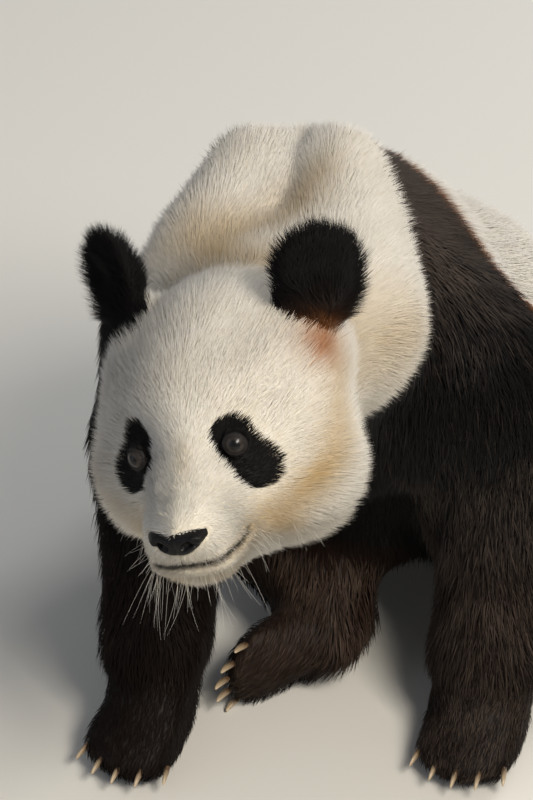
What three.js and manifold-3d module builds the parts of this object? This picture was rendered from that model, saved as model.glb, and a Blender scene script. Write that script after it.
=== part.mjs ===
// A giant panda at life size, sitting on its rump with its forelegs propped in front of it, its head
// turned a little to its right and tilted. All sizes are millimetres. The panda faces -Y, its left is +X,
// +Z is up and the floor is z = 0.
//
// The body is one smooth field of flesh and coat: ellipsoids and tapered limbs that run together. Each
// part of the body is the skin of that field in its own region, and neighbours are parted by thin cuts.
import * as THREE from "three";
import { mergeVertices } from "three/addons/utils/BufferGeometryUtils.js";
import Module from "manifold-3d";

const wasm = await Module();
wasm.setup();

// ---------------------------------------------------------------- driving dimensions
const GAP = 0.4; // the thin cut between two neighbouring parts
const STEP = { trunk: 50, neck: 40, leg: 45, paw: 28, head: 23.5, ear: 16, tail: 30, nose: 12 };
const CHORD = 0.8; // how far a facet may leave the smooth surface when small facets are merged
const BLEND = { trunk: 70, neck: 24, leg: 34, paw: 12, head: 34, wrist: 24, onto: 40 };

const HEAD_AT = [-14, -370, 599]; // the middle of the head, between the cheeks
const HEAD_TURN = [-7, -19, -8]; // degrees: nose up, left side up, to its right

const EYE = { radius: 12, left: [58, -113, 11], right: [-56, -114, 3] }; // not quite level
const EAR = {
  left: [128, 26, 132],
  right: [-108, 26, 148],
  radii: [54, 21, 54],
  turn: [0, 10, 38],
  hollow: 17,
};
const CLAW = {
  length: 34,
  radius: 5,
  flat: 0.8,
  high: 1.2,
  taper: 0.55,
  bend: 40,
  start: 1, // ahead of the middle of the toe's end
  lift: 2,
  sides: 5,
};
const TOES = 5;

const rad = THREE.MathUtils.degToRad;
const v3 = (x, y, z) => new THREE.Vector3(x, y, z);

// ---------------------------------------------------------------- the field: masses that run together
// Each mass gives the distance from a point to its surface, negative inside.
function ellipsoid(at, radii, turn = [0, 0, 0]) {
  const place = new THREE.Matrix4().makeRotationFromEuler(new THREE.Euler(...turn.map(rad), "ZXY"));
  place.setPosition(...at);
  return { place, radii };
}

function limb(from, to, r1, r2) {
  return { from: v3(...from), to: v3(...to), r1, r2 };
}

// The same masses carried into another frame, such as the head's or a foot's.
function carried(masses, frame) {
  return masses.map((m) =>
    m.radii
      ? { radii: m.radii, place: frame.clone().multiply(m.place) }
      : { ...m, from: m.from.clone().applyMatrix4(frame), to: m.to.clone().applyMatrix4(frame) },
  );
}

// A pair of masses on the left and the right of the middle plane x = 0.
const pair = (at, radii, turn = [0, 0, 0]) =>
  [1, -1].map((s) => ellipsoid([s * at[0], at[1], at[2]], radii, [turn[0], s * turn[1], s * turn[2]]));

const local = new THREE.Vector3();
const unit = new THREE.Vector3();

function distanceToEllipsoid(mass, x, y, z) {
  mass.inverse ??= mass.place.clone().invert();
  local.set(x, y, z).applyMatrix4(mass.inverse);
  const [a, b, c] = mass.radii;
  const k0 = Math.hypot(local.x / a, local.y / b, local.z / c);
  const k1 = Math.hypot(local.x / (a * a), local.y / (b * b), local.z / (c * c));
  return k1 < 1e-9 ? -Math.min(a, b, c) : (k0 * (k0 - 1)) / k1;
}

function distanceToLimb(mass, x, y, z) {
  const { from, to, r1, r2 } = mass;
  unit.subVectors(to, from);
  const length2 = unit.lengthSq();
  local.set(x, y, z).sub(from);
  const t = THREE.MathUtils.clamp(local.dot(unit) / length2, 0, 1);
  const ease = t * t * (3 - 2 * t);
  return local.addScaledVector(unit, -t).length() - (r1 + (r2 - r1) * ease);
}

const distanceTo = (mass, x, y, z) =>
  mass.radii ? distanceToEllipsoid(mass, x, y, z) : distanceToLimb(mass, x, y, z);

function smoothMin(a, b, k) {
  const h = Math.max(k - Math.abs(a - b), 0) / k;
  return Math.min(a, b) - (h * h * k) / 4;
}

// A field of masses that blend over the distance k.
const flesh = (masses, k) => (x, y, z) =>
  masses.reduce((d, m) => smoothMin(d, distanceTo(m, x, y, z), k), 1e4);

const joined = (f, g, k) => (x, y, z) => smoothMin(f(x, y, z), g(x, y, z), k);
const carved = (f, g, k) => (x, y, z) => -smoothMin(-f(x, y, z), g(x, y, z), k);

// ---------------------------------------------------------------- the skin of a field
// Surface nets: one vertex in each cell that the surface crosses, moved onto the surface, and one
// quad for each grid edge that it crosses.
function skinOf(field, box, step) {
  const size = box.getSize(new THREE.Vector3());
  const n = ["x", "y", "z"].map((a) => Math.ceil(size[a] / step) + 1);
  const at = (i, j, k) => (k * n[1] + j) * n[0] + i;
  const edge = (i, j, k) => [i, j, k].some((q, a) => q === 0 || q === n[a] - 1);
  const value = new Float64Array(n[0] * n[1] * n[2]);
  const place = (i, j, k) => [box.min.x + i * step, box.min.y + j * step, box.min.z + k * step];
  for (let k = 0; k < n[2]; k++)
    for (let j = 0; j < n[1]; j++)
      for (let i = 0; i < n[0]; i++) {
        const d = field(...place(i, j, k));
        value[at(i, j, k)] = edge(i, j, k) ? Math.max(d, step / 2) : d === 0 ? 1e-6 : d;
      }

  unpinch(value, n, at);

  const points = [];
  const cell = new Map();
  const corners = [0, 1, 2, 3, 4, 5, 6, 7].map((c) => [c & 1, (c >> 1) & 1, (c >> 2) & 1]);
  for (let k = 0; k < n[2] - 1; k++)
    for (let j = 0; j < n[1] - 1; j++)
      for (let i = 0; i < n[0] - 1; i++) {
        const d = corners.map(([a, b, c]) => value[at(i + a, j + b, k + c)]);
        if (d.every((q) => q > 0) || d.every((q) => q < 0)) continue;
        const sum = [0, 0, 0];
        let crossings = 0;
        for (let p = 0; p < 8; p++)
          for (const axis of [1, 2, 4]) {
            const q = p | axis;
            if (p & axis || d[p] > 0 === d[q] > 0) continue;
            const t = d[p] / (d[p] - d[q]);
            for (let a = 0; a < 3; a++) sum[a] += corners[p][a] + t * (corners[q][a] - corners[p][a]);
            crossings++;
          }
        const at0 = place(i, j, k);
        const point = v3(...sum.map((s, a) => at0[a] + (s / crossings) * step));
        settle(point, field, step);
        cell.set(at(i, j, k), points.length);
        points.push(point);
      }

  const quads = [];
  const quad = (a, b, c, d, flip) => quads.push(flip ? [a, d, c, b] : [a, b, c, d]);
  for (let k = 0; k < n[2] - 1; k++)
    for (let j = 0; j < n[1] - 1; j++)
      for (let i = 0; i < n[0] - 1; i++) {
        const here = value[at(i, j, k)] < 0;
        const c = (a, b, e) => cell.get(at(i + a, j + b, k + e));
        if (j && k && here !== value[at(i + 1, j, k)] < 0)
          quad(c(0, -1, -1), c(0, 0, -1), c(0, 0, 0), c(0, -1, 0), !here);
        if (i && k && here !== value[at(i, j + 1, k)] < 0)
          quad(c(-1, 0, -1), c(-1, 0, 0), c(0, 0, 0), c(0, 0, -1), !here);
        if (i && j && here !== value[at(i, j, k + 1)] < 0)
          quad(c(-1, -1, 0), c(0, -1, 0), c(0, 0, 0), c(-1, 0, 0), !here);
      }
  for (let pass = 0; pass < 3; pass++) relax(points, quads, field, step);
  return { points, faces: quads.flatMap((q) => halves(q, points)) };
}

// Where a grid square has its two inside corners on a diagonal, two sheets of the skin would meet in one
// edge. The nearer of its outside corners is filled, so that they run together instead.
function unpinch(value, n, at) {
  const inside = (c) => value[c] < 0;
  const [alongX, alongY, alongZ] = [at(1, 0, 0), at(0, 1, 0), at(0, 0, 1)];
  const squares = [[alongX, alongY], [alongY, alongZ], [alongZ, alongX]];
  for (let found = true; found; ) {
    found = false;
    for (let k = 1; k < n[2] - 1; k++)
      for (let j = 1; j < n[1] - 1; j++)
        for (let i = 1; i < n[0] - 1; i++)
          for (const [a, b] of squares) {
            const c = at(i, j, k);
            const even = [c, c + a + b];
            const odd = [c + a, c + b];
            const alike = (pair) => inside(pair[0]) === inside(pair[1]);
            if (inside(even[0]) === inside(odd[0]) || !alike(even) || !alike(odd)) continue;
            const outside = inside(even[0]) ? odd : even;
            value[value[outside[0]] < value[outside[1]] ? outside[0] : outside[1]] = -1e-3;
            found = true;
          }
  }
}

// Evens out the net: each vertex goes half way to the middle of its neighbours, then back to the surface.
function relax(points, quads, field, step) {
  const sum = new Map(points.keys().map((i) => [i, { at: v3(0, 0, 0), count: 0 }]));
  for (const q of quads)
    q.forEach((a, i) => {
      sum.get(a).at.add(points[q[(i + 1) % 4]]);
      sum.get(a).count++;
    });
  points.forEach((p, i) => {
    if (Math.abs(field(p.x, p.y, p.z)) > step * 0.2) return;
    p.lerp(sum.get(i).at.divideScalar(sum.get(i).count), 0.5);
    settle(p, field, step);
  });
}

// The two triangles of a quad, split along its shorter diagonal.
function halves([a, b, c, d], points) {
  const across = points[a].distanceTo(points[c]) < points[b].distanceTo(points[d]);
  return across ? [a, b, c, a, c, d] : [a, b, d, b, c, d];
}

// Moves a vertex onto the surface along the field's slope, by under half a cell.
function settle(point, field, step) {
  const start = point.clone();
  const h = step * 0.05;
  for (let turn = 0; turn < 3; turn++) {
    const { x, y, z } = point;
    const d = field(x, y, z);
    const slope = v3(
      field(x + h, y, z) - field(x - h, y, z),
      field(x, y + h, z) - field(x, y - h, z),
      field(x, y, z + h) - field(x, y, z - h),
    ).divideScalar(2 * h);
    point.addScaledVector(slope, -d / Math.max(slope.lengthSq(), 0.2));
  }
  const moved = point.clone().sub(start);
  if (moved.length() > step * 0.45) point.copy(start).addScaledVector(moved.normalize(), step * 0.45);
}

// ---------------------------------------------------------------- solids: cutting and joining
function solid(geometry) {
  const bare = new THREE.BufferGeometry();
  bare.setAttribute("position", geometry.getAttribute("position"));
  if (geometry.index) bare.setIndex(geometry.index);
  const merged = mergeVertices(bare, 1e-4);
  return new wasm.Manifold(
    new wasm.Mesh({
      numProp: 3,
      vertProperties: new Float32Array(merged.attributes.position.array),
      triVerts: new Uint32Array(merged.index.array),
    }),
  );
}

function geometryOf(made) {
  const { vertProperties, triVerts, numProp } = made.getMesh();
  const positions = new Float32Array((vertProperties.length / numProp) * 3);
  for (let i = 0; i < positions.length / 3; i++)
    positions.set(vertProperties.subarray(i * numProp, i * numProp + 3), i * 3);
  const geometry = new THREE.BufferGeometry();
  geometry.setAttribute("position", new THREE.BufferAttribute(positions, 3));
  geometry.setIndex(new THREE.BufferAttribute(triVerts, 1));
  geometry.computeVertexNormals();
  return geometry;
}

const boxOf = (low, high) => new THREE.Box3(v3(...low), v3(...high));

function body(field, box, step) {
  const { points, faces } = skinOf(field, box, step);
  const geometry = new THREE.BufferGeometry();
  geometry.setAttribute("position", new THREE.Float32BufferAttribute(points.flatMap((p) => p.toArray()), 3));
  geometry.setIndex(faces);
  return largest(solid(geometry)).simplify(CHORD);
}

const largest = (made) => made.decompose().sort((a, b) => b.volume() - a.volume())[0];
const tidy = (made) => largest(made).simplify(CHORD);

const onFloor = (made) => made.trimByPlane([0, 0, 1], 0);
const plane = (at, normal) => ({ at: v3(...at), normal: v3(...normal).normalize() });
const turned = ({ at, normal }) => ({ at, normal: normal.clone().negate() });

// Keeps what lies on the side that the plane's normal points to, less half a cut.
const keep = (made, { at, normal: n }) => made.trimByPlane([n.x, n.y, n.z], n.dot(at) + GAP / 2);

// The blocks where all the planes of a list agree, joined, and grown by some millimetres.
function blocks(lists, grow) {
  const all = lists.map((planes) =>
    planes.reduce(
      (made, { at, normal: n }) => made.trimByPlane([n.x, n.y, n.z], n.dot(at) - grow),
      solid(new THREE.BoxGeometry(3000, 3000, 3000)),
    ),
  );
  return all.reduce((a, b) => a.add(b));
}

// The same solid with its skin moved out by one cut, to seat it in a neighbour.
function grown(made) {
  const geometry = geometryOf(made);
  const { position, normal } = geometry.attributes;
  for (let i = 0; i < position.count; i++) {
    const p = v3(0, 0, 0).fromBufferAttribute(position, i);
    const n = v3(0, 0, 0).fromBufferAttribute(normal, i);
    p.addScaledVector(n, GAP);
    position.setXYZ(i, p.x, p.y, p.z);
  }
  return solid(geometry);
}

const seated = (made, pieces) => largest(pieces.reduce((a, b) => a.subtract(grown(b)), made));

// ---------------------------------------------------------------- frames
// A frame turned by degrees about X, then Y, then Z, and set at a point.
const frameAt = (at, turn) =>
  new THREE.Matrix4()
    .makeRotationFromEuler(new THREE.Euler(...turn.map(rad), "ZXY"))
    .setPosition(...at);

const inFrame = (frame) => v3(0, 0, 0).setFromMatrixPosition(frame);

const headFrame = frameAt(HEAD_AT, HEAD_TURN);
const inHead = (x, y, z) => v3(x, y, z).applyMatrix4(headFrame);
const headPlane = (at, normal) => ({
  at: inHead(...at),
  normal: v3(...normal).transformDirection(headFrame),
});

// ---------------------------------------------------------------- the masses of each part
// The head, in its own frame: it faces -Y.
const HEAD = [
  ellipsoid([0, 22, 28], [120, 128, 108]), // cranium
  ...pair([84, 14, 32], [55, 78, 72]), // temples
  ...pair([76, -12, -44], [68, 90, 88]), // cheeks
  ...pair([88, -40, -50], [64, 66, 74]), // front of the cheeks
  ellipsoid([0, -68, 32], [84, 54, 60]), // brow
  ellipsoid([0, -30, -90], [96, 94, 54]), // throat and jaw
];
const MUZZLE = [
  limb([0, -92, -50], [0, -136, -76], 60, 46),
  limb([0, -78, 4], [0, -148, -54], 40, 24), // bridge of the nose
  limb([0, -88, -90], [0, -132, -106], 46, 26), // chin
  ...pair([26, -148, -86], [30, 31, 29]), // upper lips
];
const SOCKETS = pair([58, -133, 6], [24, 24, 20]);
const NOSE = [
  ellipsoid([0, -174, -62], [35, 19, 13]),
  ...pair([21, -178, -64], [14, 14, 11]), // wings of the nostrils
  ellipsoid([0, -178, -76], [13, 13, 14]),
];

const NECK = [
  limb([-20, -275, 575], [-34, -60, 548], 118, 124),
  limb([-88, 8, 645], [-106, -150, 596], 62, 80), // right neck roll
  limb([-12, 12, 652], [56, -176, 588], 69, 94), // left neck roll
  ellipsoid([-20, -170, 500], [118, 110, 100]), // throat
];
const TORSO = [
  ellipsoid([-4, -4, 505], [186, 136, 150]), // shoulders
  ellipsoid([0, -70, 430], [142, 104, 140]), // chest
  limb([-4, 50, 560], [10, 100, 536], 92, 86), // withers
  limb([0, 34, 446], [44, 225, 288], 180, 200), // barrel
  ellipsoid([20, 120, 230], [168, 146, 150]), // belly
  ellipsoid([46, 322, 180], [198, 184, 188]), // rump
];
const TAIL = [
  limb([58, 440, 116], [66, 506, 72], 46, 46),
  limb([66, 506, 72], [70, 532, 46], 46, 36),
];

// A paw in its own frame: it stands on z = 0, its wrist is over the origin and its toes point to -Y.
function paw({ width, length, height }) {
  const toes = Array.from({ length: TOES }, (_, i) => {
    const across = (2 * i) / (TOES - 1) - 1;
    const reach = length * (0.92 - 0.17 * across * across);
    const x = across * width * 0.37;
    return { from: [x * 0.8, -reach * 0.55, height * 0.6], to: [x, -reach, height * 0.38] };
  });
  return {
    toes,
    masses: [
      ellipsoid([0, -length * 0.36, height * 0.42], [width * 0.46, length * 0.5, height * 0.56]),
      ...toes.map((t) => limb(t.from, t.to, height * 0.34, height * 0.28)),
    ],
  };
}

const FORE_PAW = { width: 134, length: 128, height: 72 };
const HIND_PAW = { width: 120, length: 126, height: 66 };

// Where the neck starts behind the head, and the two borders of the black band over the shoulders.
const nape = headPlane([0, 112, 20], [0, -1, 0.25]);
const NECK_END = [
  plane([0, 66, 700], [0, -0.765, 0.644]),
  plane([53, 53, 692], [-0.285, -0.564, 0.775]),
  plane([-112, 50, 696], [0.285, -0.564, 0.775]),
];
const BAND_END = [
  plane([112, 98, 665], [-0.5, -0.93, 0.2]),
  plane([-36, 150, 640], [0, -1, 0.2]),
  plane([-184, 98, 665], [0.5, -0.93, 0.2]),
];
const CHEST_END = [
  plane([0, 70, 300], [0, -0.9, 0.4]),
  plane([0, 0, 430], [0, 0, -1]),
  plane([114, 0, 0], [-1, 0, 0]),
  plane([-96, 0, 0], [1, 0, 0]),
];

// The four legs: where each joint is, how thick the leg is there, how its paw is set down, where the leg
// is parted from the trunk, and where the paw is parted from the leg.
const LEGS = {
  front_left: {
    joints: [[148, -36, 466], [202, 0, 315], [208, -78, 110], [212, -100, 50]],
    radii: [110, 82, 62, 60],
    paw: paw(FORE_PAW),
    frame: frameAt([214, -94, 0], [0, 0, -4]),
    region: [
      [
        plane([112, 0, 300], [1, 0, 0.12]),
        plane([0, 72, 330], [0, -0.95, -0.3]),
        plane([0, 84, 315], [0, -0.92, 0.4]),
      ],
    ],
    wrist: plane([212, -82, 92], [0, -0.25, -0.97]),
  },
  front_right: {
    joints: [[-142, -56, 466], [-180, -66, 315], [-160, -160, 110], [-150, -186, 50]],
    radii: [106, 80, 64, 60],
    paw: paw(FORE_PAW),
    frame: frameAt([-146, -188, 0], [0, 0, -10]),
    region: [
      [
        plane([-94, -60, 300], [-1, 0, 0.06]),
        plane([0, 52, 330], [0, -0.95, -0.3]),
        plane([0, 34, 315], [0, -0.92, 0.4]),
      ],
    ],
    wrist: plane([-150, -170, 92], [0, -0.25, -0.97]),
  },
  hind_left: {
    joints: [[150, 330, 165], [300, 170, 190], [212, 76, 80], [222, 62, 66]],
    radii: [150, 96, 62, 52],
    paw: paw(HIND_PAW),
    frame: frameAt([222, 60, 49], [0, 80, 42]),
    region: [
      [
        plane([206, 250, 170], [0.97, -0.24, 0]),
        plane([195, 300, 172], [0.5, -0.86, 0.05]),
        plane([200, 200, 312], [0.3, -0.3, -0.9]),
      ],
      [
        plane([160, 80, 120], [0.3, -0.45, -0.84]),
        plane([116, 0, 0], [1, 0, 0]),
        plane([0, 150, 0], [0, -1, 0]),
      ],
    ],
    wrist: plane([222, 58, 66], [0.67, -0.74, 0]),
  },
  hind_right: {
    joints: [[-60, 318, 165], [-206, 130, 190], [4, -8, 78], [16, -54, 64]],
    radii: [145, 94, 58, 48],
    paw: paw(HIND_PAW),
    frame: frameAt([11, -71, 49], [0, -80, -38]),
    region: [
      [
        plane([-116, 250, 170], [-0.97, -0.24, 0]),
        plane([-105, 300, 172], [-0.5, -0.86, 0.05]),
        plane([-110, 200, 312], [-0.3, -0.3, -0.9]),
      ],
      [
        plane([-60, 70, 128], [0, -0.45, -0.9]),
        plane([100, 0, 0], [-1, 0, 0]),
        plane([0, 150, 0], [0, -1, 0]),
      ],
    ],
    wrist: plane([12, -72, 60], [-0.62, -0.79, 0]),
  },
};

// ---------------------------------------------------------------- fields
const headField = carved(
  flesh([...carried(HEAD, headFrame), ...carried(MUZZLE, headFrame)], BLEND.head),
  flesh(carried(SOCKETS, headFrame), 1),
  16,
);
const torsoField = flesh(TORSO, BLEND.trunk);
const trunkField = joined(torsoField, flesh(NECK, BLEND.neck), BLEND.onto);
const headAndNeck = joined(headField, trunkField, BLEND.onto);

function legField({ joints, radii, paw, frame }) {
  const bones = joints.slice(1).map((to, i) => limb(joints[i], to, radii[i], radii[i + 1]));
  const foot = flesh(carried(paw.masses, frame), BLEND.paw);
  return joined(flesh(bones, BLEND.leg), foot, BLEND.wrist);
}

for (const leg of Object.values(LEGS)) leg.field = joined(trunkField, legField(leg), BLEND.onto);
const wholeField = Object.values(LEGS).reduce(
  (f, leg) => joined(f, legField(leg), BLEND.onto),
  headAndNeck,
);

// ---------------------------------------------------------------- claws, eyes, ears, nose
// A closed solid through rings of points, from a flat first ring to a pointed end.
function pointed(rings, tip) {
  const count = rings[0].length;
  const points = [...rings.flat(), rings[0].reduce((a, p) => a.clone().add(p)).divideScalar(count), tip];
  const faces = [];
  for (let i = 0; i < count; i++) {
    const j = (i + 1) % count;
    const last = (rings.length - 1) * count;
    faces.push(rings.length * count, j, i, last + i, last + j, rings.length * count + 1);
    for (let r = 0; r < last; r += count) {
      faces.push(r + i, r + j, r + count + i);
      faces.push(r + j, r + count + j, r + count + i);
    }
  }
  const geometry = new THREE.BufferGeometry().setFromPoints(points);
  geometry.setIndex(faces);
  return solid(geometry);
}

// A claw out of a toe's end: it runs on along the toe and bends down.
function claw({ from, to }, frame) {
  const ahead = v3(...to).sub(v3(...from)).setZ(0).normalize();
  const centre = (t) => {
    const angle = rad(CLAW.bend) * t;
    const r = CLAW.length / rad(CLAW.bend);
    return v3(...to)
      .addScaledVector(ahead, CLAW.start + r * Math.sin(angle))
      .add(v3(0, 0, CLAW.lift - r * (1 - Math.cos(angle))));
  };
  const rings = [0, CLAW.taper].map((t) => {
    const along = centre(t + 0.01).sub(centre(t - 0.01)).normalize();
    const side = v3(0, 0, 1).cross(along).normalize();
    const up = along.clone().cross(side);
    const r = CLAW.radius * (1 - t * CLAW.taper);
    return Array.from({ length: CLAW.sides }, (_, i) => {
      const a = (i / CLAW.sides) * 2 * Math.PI;
      return centre(t)
        .addScaledVector(side, r * CLAW.flat * Math.cos(a))
        .addScaledVector(up, r * CLAW.high * Math.sin(a));
    });
  });
  const place = (p) => p.applyMatrix4(frame);
  return pointed(rings.map((ring) => ring.map(place)), place(centre(1)));
}

const eye = (at) => {
  const ball = new THREE.SphereGeometry(EYE.radius, 10, 7).translate(...inHead(...at));
  return solid(ball);
};

// An ear: a round disc with a shallow cup in its front, on a short root that runs inwards into the head.
function ear(at, side) {
  const [, lean, out] = EAR.turn;
  const turn = [0, side * lean, side * out];
  const [w, t, h] = EAR.radii;
  const beside = (x, y, z) => [at[0] + x, at[1] + y, at[2] + z];
  const cupAt = v3(0, -t - EAR.hollow * 0.6, h * 0.12).applyMatrix4(frameAt(at, turn));
  const disc = ellipsoid(at, EAR.radii, turn);
  const cup = ellipsoid(cupAt.toArray(), [w * 0.66, EAR.hollow * 1.4, h * 0.66], turn);
  const root = limb(beside(0, 0, -h * 0.5), beside(-side * 20, 0, -h * 1.1), w * 0.5, w * 0.45);
  const field = carved(flesh(carried([disc, root], headFrame), 20), flesh(carried([cup], headFrame), 1), 8);
  const room = new THREE.Box3().setFromCenterAndSize(inHead(...at), v3(3.4, 3.4, 3.4).multiplyScalar(w));
  return body(field, room, STEP.ear);
}

// ---------------------------------------------------------------- the parts
const group = new THREE.Group();

const FINISH = {
  white: new THREE.MeshStandardMaterial({ color: 0xe9dfcb, roughness: 0.9, metalness: 0 }),
  black: new THREE.MeshStandardMaterial({ color: 0x1a1614, roughness: 0.85, metalness: 0 }),
  nose: new THREE.MeshStandardMaterial({ color: 0x1c1a1a, roughness: 0.5, metalness: 0 }),
  eye: new THREE.MeshStandardMaterial({ color: 0x120c09, roughness: 0.08, metalness: 0 }),
  claw: new THREE.MeshStandardMaterial({ color: 0xcdb894, roughness: 0.45, metalness: 0 }),
};

function add(name, made, finish) {
  const mesh = new THREE.Mesh(geometryOf(made.simplify(GAP / 8)), FINISH[finish].clone());
  mesh.name = name;
  group.add(mesh);
}

// The torso is cut from one skin: the neck's end and the legs off first, then the black band over the
// shoulders from the white barrel.
const neckEnd = blocks([NECK_END], GAP / 2);
const legEnds = Object.values(LEGS).map((leg) => blocks(leg.region, GAP / 2));
const foreEnds = legEnds[0].add(legEnds[1]);
const torso = legEnds.reduce(
  (made, block) => made.subtract(block),
  body(wholeField, boxOf([-360, -330, -40], [420, 640, 800]), STEP.trunk).subtract(neckEnd),
);
const tail = body(flesh(TAIL, 20), boxOf([-40, 360, -20], [200, 700, 220]), STEP.tail);
add("shoulders", tidy(torso.intersect(blocks([BAND_END, CHEST_END], -GAP / 2))), "black");
add("trunk", onFloor(seated(torso.subtract(blocks([BAND_END, CHEST_END], GAP / 2)), [tail])), "white");
add("tail", onFloor(tail), "white");

const neck = body(wholeField, boxOf([-330, -480, 280], [330, 200, 800]), STEP.neck);
add("neck", tidy(keep(neck.intersect(blocks([NECK_END], -GAP / 2)), turned(nape))), "white");

const eyes = { eye_left: eye(EYE.left), eye_right: eye(EYE.right) };
const ears = { ear_left: ear(EAR.left, 1), ear_right: ear(EAR.right, -1) };
const noseBox = new THREE.Box3().setFromCenterAndSize(inHead(0, -170, -66), v3(120, 120, 120));
const nose = body(flesh(carried(NOSE, headFrame), 12), noseBox, STEP.nose);
const head = keep(body(wholeField, boxOf([-280, -620, 380], [280, -120, 820]), STEP.head), nape);
add("head", seated(head, [...Object.values(eyes), ...Object.values(ears), nose]), "white");
add("nose", nose, "nose");
for (const [name, made] of Object.entries(eyes)) add(name, made, "eye");
for (const [name, made] of Object.entries(ears)) add(name, made, "black");

for (const [name, leg] of Object.entries(LEGS)) {
  const region = blocks(leg.region, -GAP / 2);
  const claws = leg.paw.toes.map((toe) => claw(toe, leg.frame));
  const whole = boxOf([-411, -473, -49], [460, 560, 720]);
  const around = new THREE.Box3().setFromCenterAndSize(inFrame(leg.frame), v3(420, 420, 330));
  around.max.z = 190;
  const ahead = name.startsWith("hind") ? neckEnd.add(foreEnds) : neckEnd;
  const limbSkin = tidy(body(leg.field, whole, STEP.leg).intersect(region).subtract(ahead));
  const pawSkin = tidy(keep(body(leg.field, around, STEP.paw).intersect(region), leg.wrist));
  add(`${name}_leg`, onFloor(tidy(keep(limbSkin, turned(leg.wrist)))), "black");
  add(`${name}_paw`, onFloor(seated(pawSkin, claws)), "black");
  claws.forEach((made, i) => add(`${name}_claw_${i + 1}`, made, "claw"));
}

// The origin is the middle of the bounding box, at the floor.
const bounds = new THREE.Box3().setFromObject(group);
const middle = bounds.getCenter(new THREE.Vector3());
group.position.set(-middle.x, -middle.y, -bounds.min.z);

export default group;
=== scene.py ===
"""A giant panda sitting with its forelegs propped, as a museum model: skin, coat, eyes, nose, claws,
whiskers and a plain studio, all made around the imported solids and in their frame, in metres."""
import math

import bmesh
import bpy
import numpy as np
from bpy.props import FloatProperty, FloatVectorProperty, IntProperty
from mathutils import Euler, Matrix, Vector
from mathutils.bvhtree import BVHTree


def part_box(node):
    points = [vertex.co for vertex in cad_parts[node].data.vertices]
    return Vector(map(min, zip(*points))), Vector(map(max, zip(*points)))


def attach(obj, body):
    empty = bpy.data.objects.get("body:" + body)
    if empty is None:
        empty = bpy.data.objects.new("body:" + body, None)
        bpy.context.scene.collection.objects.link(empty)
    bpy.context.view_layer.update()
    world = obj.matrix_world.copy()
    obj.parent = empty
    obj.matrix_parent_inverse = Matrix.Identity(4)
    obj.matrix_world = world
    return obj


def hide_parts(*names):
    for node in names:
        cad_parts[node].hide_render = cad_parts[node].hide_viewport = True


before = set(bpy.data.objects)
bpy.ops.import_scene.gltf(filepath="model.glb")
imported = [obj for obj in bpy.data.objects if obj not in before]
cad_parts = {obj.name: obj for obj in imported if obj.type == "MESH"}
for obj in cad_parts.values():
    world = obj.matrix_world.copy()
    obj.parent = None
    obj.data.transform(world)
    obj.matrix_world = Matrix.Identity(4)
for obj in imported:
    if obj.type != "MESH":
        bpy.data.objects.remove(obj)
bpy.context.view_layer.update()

bl_info = {
    "name": "Giant Panda Model",
    "version": (1, 0, 0),
    "blender": (4, 5, 0),
    "location": "View3D > Sidebar > Panda",
    "description": "Dresses the solids of a sitting giant panda with skin, coat, eyes, nose and claws",
    "category": "Object",
}

MM = 0.001

# The head's own axes: x to the animal's left, -y out through the nose, z up through the crown.
HEAD_TURN = Euler([math.radians(a) for a in (-7, -19, -8)], "YXZ").to_matrix()
EYE_MIDDLE = Vector((1, -113.5, 7)) * MM  # halfway between the eyes, on the head's axes
EYE_RADIUS = 12 * MM

FLESH = [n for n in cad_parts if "claw" not in n and "eye" not in n and n != "nose"]
EYES = {1: "eye_left", -1: "eye_right"}
EARS = ["ear_left", "ear_right"]
FORE = ["front_left_leg", "front_right_leg"]
FORE_PAWS = ["front_left_paw", "front_right_paw"]
HIND = ["hind_left_leg", "hind_right_leg"]
HIND_PAWS = ["hind_left_paw", "hind_right_paw"]
BLACK_NODES = EARS + FORE + FORE_PAWS + HIND + HIND_PAWS + ["shoulders"]


def middle(node):
    """The middle of a solid's box."""
    low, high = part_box(node)
    return (low + high) / 2


def middle_of(node):
    """The middle of a solid's box, as an array."""
    return np.array(middle(node))


def mm(*numbers):
    """Numbers given in millimetres, as an array in metres."""
    return np.array(numbers) * MM


HEAD_AT = (middle(EYES[1]) + middle(EYES[-1])) / 2 - HEAD_TURN @ EYE_MIDDLE  # where those axes meet


# ---- sizes and colours a user may change

def length(name, description, default):
    """A length in metres, shown with the scene's unit."""
    return FloatProperty(name=name, description=description, default=default, min=0,
                         unit="LENGTH", subtype="DISTANCE")


def colour(name, description, hexcode):
    """A colour picked in linear light, its default given as an sRGB hex code."""
    return FloatVectorProperty(name=name, description=description, size=3, min=0, max=1,
                               default=linear(hexcode)[:3], subtype="COLOR")


def linear(hexcode):
    """An sRGB hex code as linear red, green, blue and a full alpha."""
    parts = [int(hexcode[i:i + 2], 16) / 255 for i in (1, 3, 5)]
    return tuple(c / 12.92 if c <= 0.04045 else ((c + 0.055) / 1.055) ** 2.4 for c in parts) + (1.0,)


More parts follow.
